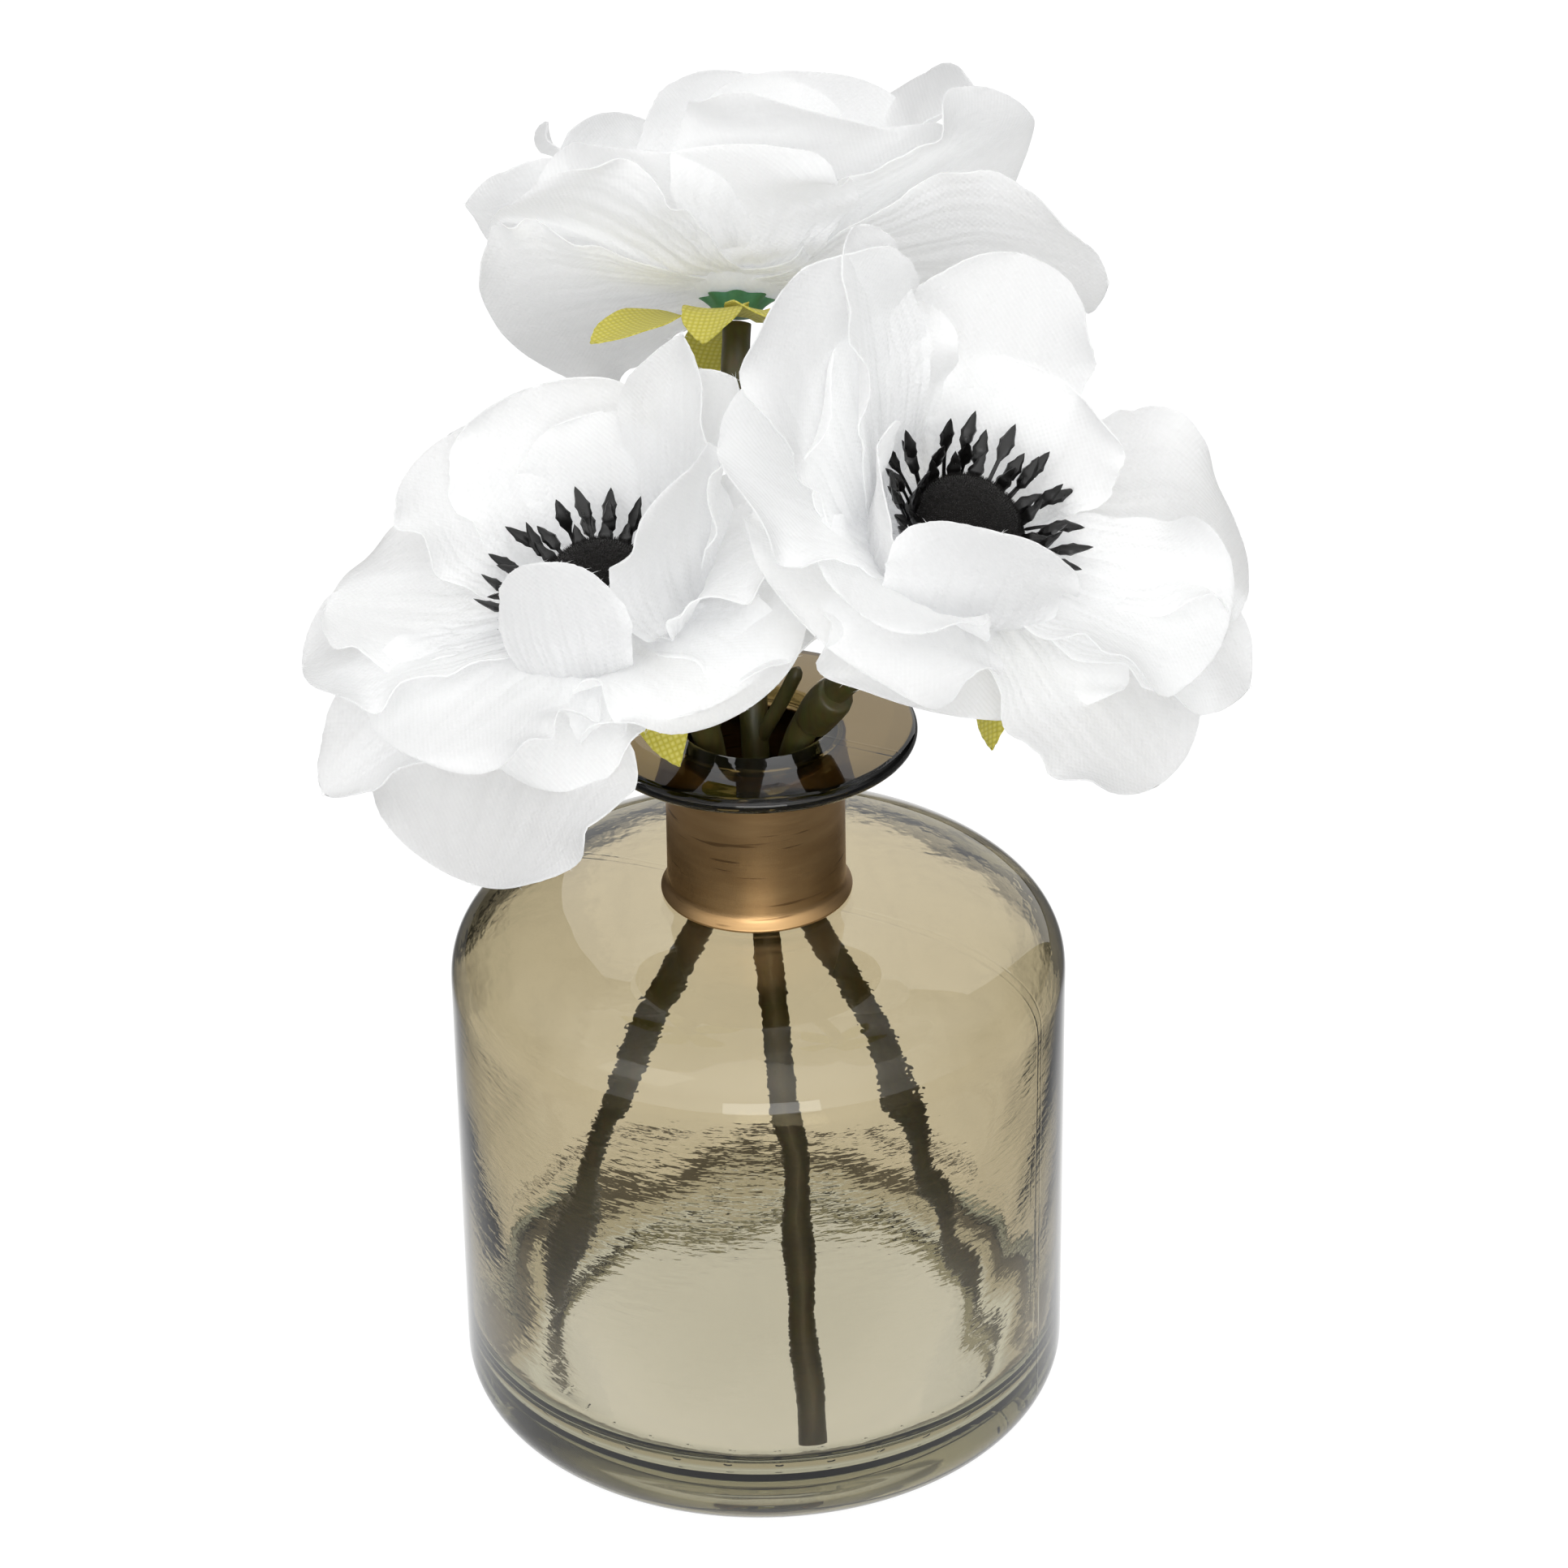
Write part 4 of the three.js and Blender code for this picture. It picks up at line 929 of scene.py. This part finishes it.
# The button is a little uneven under its flock. The fibres start from a sunflower spiral,
# equal steps of area and the golden angle, and lean out from the middle and astray.
polar_steps = np.linspace(0, np.pi / 2, DOME_ROWS)
around_steps = np.arange(DOME_SIDES) * 2 * np.pi / DOME_SIDES
for k, name in enumerate(CENTRES):
    luck = np.random.default_rng(70 + k)
    cap = dome_point(*np.meshgrid(polar_steps, around_steps, indexing="ij"))
    cap[1:-1] *= 1 + luck.normal(0, 0.008, (DOME_ROWS - 2, DOME_SIDES, 1)) * [1, 1, 0.6]
    edge = cap[-1] * [0.98, 0.98, 1] - [0, 0, DISC_EDGE - 0.02]
    under = np.tile([0, 0, DISC_SEAT], (DOME_SIDES, 1))
    cap = np.concatenate([cap, [edge], [under]])[::-1]
    spots = np.arange(FIBRES) + 0.5
    root = dome_point(np.arccos(1 - 0.98 * spots / FIBRES), spots * GOLDEN_TURN)
    lean = root - [0, 0, DISC_SEAT - 2] + luck.normal(0, 2.2, root.shape)
    length = luck.uniform(0.45, 0.85, (FIBRES, 1))
    fibres, corners = hairs(root, lean, length, FIBRE_RADIUS, luck)
    button = (to_bouquet(cap, name), wrap_quads(len(cap), DOME_SIDES))
    shells = [button, (to_bouquet(fibres, name), corners)]
    make_piece(f"flocked_dome_{name}", shells, flock, "disc_flock", f"disc_{name}")


# Stamens
# Glossy black moulded buds on wires, pointed and a little flattened, in three rings that
# stand up out of a thin black plate round the dome and lean back on the open side.
PLATE_RADIUS = 9.9
PLATE_EDGE = 0.3
PLATE_Z = 1.9
PLATE_SIDES = 48
WIRE = 0.34
BUD = 5.8
BUD_ROWS = 15
BUD_SIDES = 8
FLATTENED = 0.6
# For each ring of buds: how many, start radius, length and extra lift in degrees. Then
# the side to which a bloom is open, and its buds' lean away from there and at it.
RINGS = [(15, 8.0, 6.6, 10), (17, 9.2, 9.0, 2), (17, 9.4, 11.2, -6)]
OPEN_SIDE = {"left": 190, "right": 10, "top": 90}
LEAN = {"left": (52, 12), "right": (57, 26), "top": (76, 70)}

# Glossy black plastic with a slightly pitted skin that breaks its sharp highlights.
PIT = 1.1
black_gloss, tree, out = new_material("glossy_black_moulded_plastic")
pits, tone = mottled(tree, PIT, 2.0, "070707", "161514")
rough = add_node(tree, "MapRange", Value=pits, To_Min=0.2, To_Max=0.42)
grain = add_node(tree, "Bump", Strength=0.35, Distance=0.2 * MM, Height=pits)
shader = add_node(tree, "BsdfPrincipled", Base_Color=tone, Roughness=rough, Normal=grain)
tree.links.new(shader.outputs[0], out.inputs["Surface"])


def buds(count, start, length, lift, name, luck):
    """A ring of stamens as one array: bud k, ring t along it, corner of its section.

    The spine leaves the plate at its lean and curls by a random angle times t. The radius
    is a thin wire, and over the last BUD mm, x from 0 to 1, a knobbly pointed swelling
    (1 + 0.16 sin 17 x) sin(pi x^0.72)^0.9, which is flattened the other way."""
    az = (np.arange(count) + luck.uniform(0.2, 0.8)) * 2 * np.pi / count
    az = az + luck.normal(0, 0.07, count)
    facing = np.maximum(np.cos(az - np.radians(OPEN_SIDE[name])), 0) ** 2
    high, low = LEAN[name]
    lean = np.radians(high + (low - high) * facing + lift + luck.normal(0, 5, count))[:, None]
    t = np.linspace(0, 1, BUD_ROWS)
    size = (length * luck.uniform(0.88, 1.06, count))[:, None]
    curl = luck.normal(2, 9, count)[:, None] * np.pi / 180
    reach = start + size * t * np.cos(lean + curl * t)
    height = PLATE_Z + size * t * np.sin(lean + curl * t)
    outward = np.stack([np.cos(az), np.sin(az), 0 * az], -1)
    sideways = np.stack([-np.sin(az), np.cos(az), 0 * az], -1)
    up = np.array([0, 0, 1.0])
    spine = reach[..., None] * outward[:, None] + height[..., None] * up
    spine += (luck.normal(0, 0.9, count)[:, None] * t ** 2)[..., None] * sideways[:, None]
    normal = -np.sin(lean)[..., None] * outward[:, None] + np.cos(lean)[..., None] * up
    x = np.clip((t - (1 - BUD / length)) * length / BUD, 0, 1)
    girth = WIRE * (1 - x) + (1 + 0.16 * np.sin(17 * x)) * np.sin(np.pi * x ** 0.72) ** 0.9
    girth[[0, -1]] = 0
    girth = girth[None, :, None, None]
    corner = (np.arange(BUD_SIDES) * 2 * np.pi / BUD_SIDES)[None, None, :, None]
    wide = girth * np.cos(corner) * sideways[:, None, None]
    deep = FLATTENED * girth * np.sin(corner) * normal[:, :, None]
    points = spine[:, :, None] + wide + deep
    first = np.arange(count) * BUD_ROWS * BUD_SIDES
    faces = wrap_quads(BUD_ROWS, BUD_SIDES)[None] + first[:, None, None]
    return to_bouquet(points, name), faces.reshape(-1, 4)


plate = np.array([
    [0, 1.5], [PLATE_RADIUS - PLATE_EDGE, 1.5], [PLATE_RADIUS, 1.9],
    [PLATE_RADIUS - PLATE_EDGE, 2.3], [0, 2.5],
])
plate_points = revolve(plate[:, 0], plate[:, 1], PLATE_SIDES)
for k, name in enumerate(CENTRES):
    luck = np.random.default_rng(90 + k)
    shells = [buds(*ring, name, luck) for ring in RINGS]
    shells.append((to_bouquet(plate_points, name), wrap_quads(len(plate), PLATE_SIDES)))
    make_piece(f"stamen_buds_{name}", shells, black_gloss, "stamen_black", f"stamens_{name}",
               crease=35)


# Studio
# A plain white sweep under soft boxes, and the photograph's own camera: a long lens in
# front of the vase, looking about 29 degrees down.
CAMERA = (0, -789.8, 564.1)
PITCH = 29.468
YAW = 0.351
ROLL = 0.813
FOCAL_PIXELS = 6658
IMAGE_PIXELS = 1932
SENSOR = 36
SWEEP = 4.0

# White paper that glows. To the camera it is evenly white, because the photograph's
# background looks cut away. For every other ray, such as one that the glass or the collar
# reflects, a Light Path node makes it dark in front of the vase and far to its sides.
PAPER_GLOW = 0.95
FRONT_DARK = -110
FRONT_LIT = -60
SIDE_LIT = 70
SIDE_DARK = 130
paper, tree, out = new_material("white_paper_sweep")
place = add_node(tree, "TexCoord").outputs["Object"]
split = add_node(tree, "SeparateXYZ", Vector=place)
behind = add_node(tree, "MapRange", Value=split.outputs[1], From_Min=FRONT_DARK * MM,
                  From_Max=FRONT_LIT * MM, To_Min=0.03, To_Max=PAPER_GLOW)
aside = add_node(tree, "Math", operation="ABSOLUTE", i0=split)
strip = add_node(tree, "MapRange", Value=aside, From_Min=SIDE_LIT * MM,
                 From_Max=SIDE_DARK * MM, To_Min=1.0, To_Max=0.05)
lit = add_node(tree, "Math", operation="MULTIPLY", i0=behind, i1=strip)
ray = add_node(tree, "LightPath")
seen = add_node(tree, "Math", operation="MULTIPLY", i0=ray.outputs["Is Camera Ray"], i1=PAPER_GLOW)
glare = add_node(tree, "Math", operation="MAXIMUM", i0=lit, i1=seen)
shader = add_node(tree, "BsdfPrincipled", Base_Color=linear("6a6a6a"), Roughness=0.9,
                  Specular_IOR_Level=0.1, Emission_Color=(1, 1, 1, 1), Emission_Strength=glare)
tree.links.new(shader.outputs[0], out.inputs["Surface"])

corners = [(-SWEEP, -SWEEP, 0), (SWEEP, -SWEEP, 0), (SWEEP, SWEEP, 0), (-SWEEP, SWEEP, 0)]
floor_mesh = bpy.data.meshes.new("sweep")
floor_mesh.from_pydata(corners, [], [(0, 1, 2, 3)])
floor_mesh.materials.append(paper)
floor = bpy.data.objects.new("sweep", floor_mesh)
bpy.context.scene.collection.objects.link(floor)

# White surroundings: bright overhead, where they dim toward the back, and bright in
# front, so that the petals that face the camera are the lightest.
world = bpy.data.worlds.new("studio")
world.use_nodes = True
tree = world.node_tree
heading = add_node(tree, "TexCoord").outputs["Generated"]
split = add_node(tree, "SeparateXYZ", Vector=heading)
high = add_node(tree, "MapRange", Value=split.outputs[2], From_Min=0.4, From_Max=1.0,
                To_Min=0.12, To_Max=1.2)
front = add_node(tree, "MapRange", Value=split.outputs[1], From_Min=0.0,
                 From_Max=-1.0, To_Min=0.0, To_Max=1.45)
back = add_node(tree, "MapRange", Value=split.outputs[1], From_Min=0.2, From_Max=0.7,
                To_Min=1.0, To_Max=0.15)
above = add_node(tree, "Math", operation="MULTIPLY", i0=high, i1=back)
glare = add_node(tree, "Math", operation="ADD", i0=above, i1=front)
tree.links.new(glare.outputs[0], tree.nodes["Background"].inputs["Strength"])
tree.nodes["Background"].inputs["Color"].default_value = (1, 1, 1, 1)
bpy.context.scene.world = world

AIM_HEIGHT = 140


def soft_box(name, place, size, power):
    """Square area light at a place in millimetres, aimed at a point AIM_HEIGHT above the
    middle of the vase's base."""
    lamp = bpy.data.lights.new(name, "AREA")
    lamp.size = size * MM
    lamp.energy = power
    box = bpy.data.objects.new(name, lamp)
    bpy.context.scene.collection.objects.link(box)
    box.location = Vector(place) * MM
    aim = Vector((0, 0, AIM_HEIGHT * MM)) - box.location
    box.rotation_mode = "QUATERNION"
    box.rotation_quaternion = aim.to_track_quat("-Z", "Y")


soft_box("key", (-900, -700, 1300), 700, 1)
soft_box("fill", (100, -1500, 150), 900, 7)
soft_box("back", (420, 1500, 860), 1700, 9)

camera = bpy.data.cameras.new("photo_camera")
camera.sensor_width = SENSOR
camera.lens = FOCAL_PIXELS / IMAGE_PIXELS * SENSOR
camera.clip_start = 0.01
camera.clip_end = 20
eye = bpy.data.objects.new("photo_camera", camera)
bpy.context.scene.collection.objects.link(eye)
yaw = Matrix.Rotation(-np.radians(YAW), 4, "Z")
pitch = Matrix.Rotation(np.radians(90 - PITCH), 4, "X")
roll = Matrix.Rotation(-np.radians(ROLL), 4, "Z")
eye.matrix_world = Matrix.Translation(Vector(CAMERA) * MM) @ (yaw @ pitch @ roll)
bpy.context.scene.camera = eye
bpy.context.scene.view_settings.view_transform = "Standard"
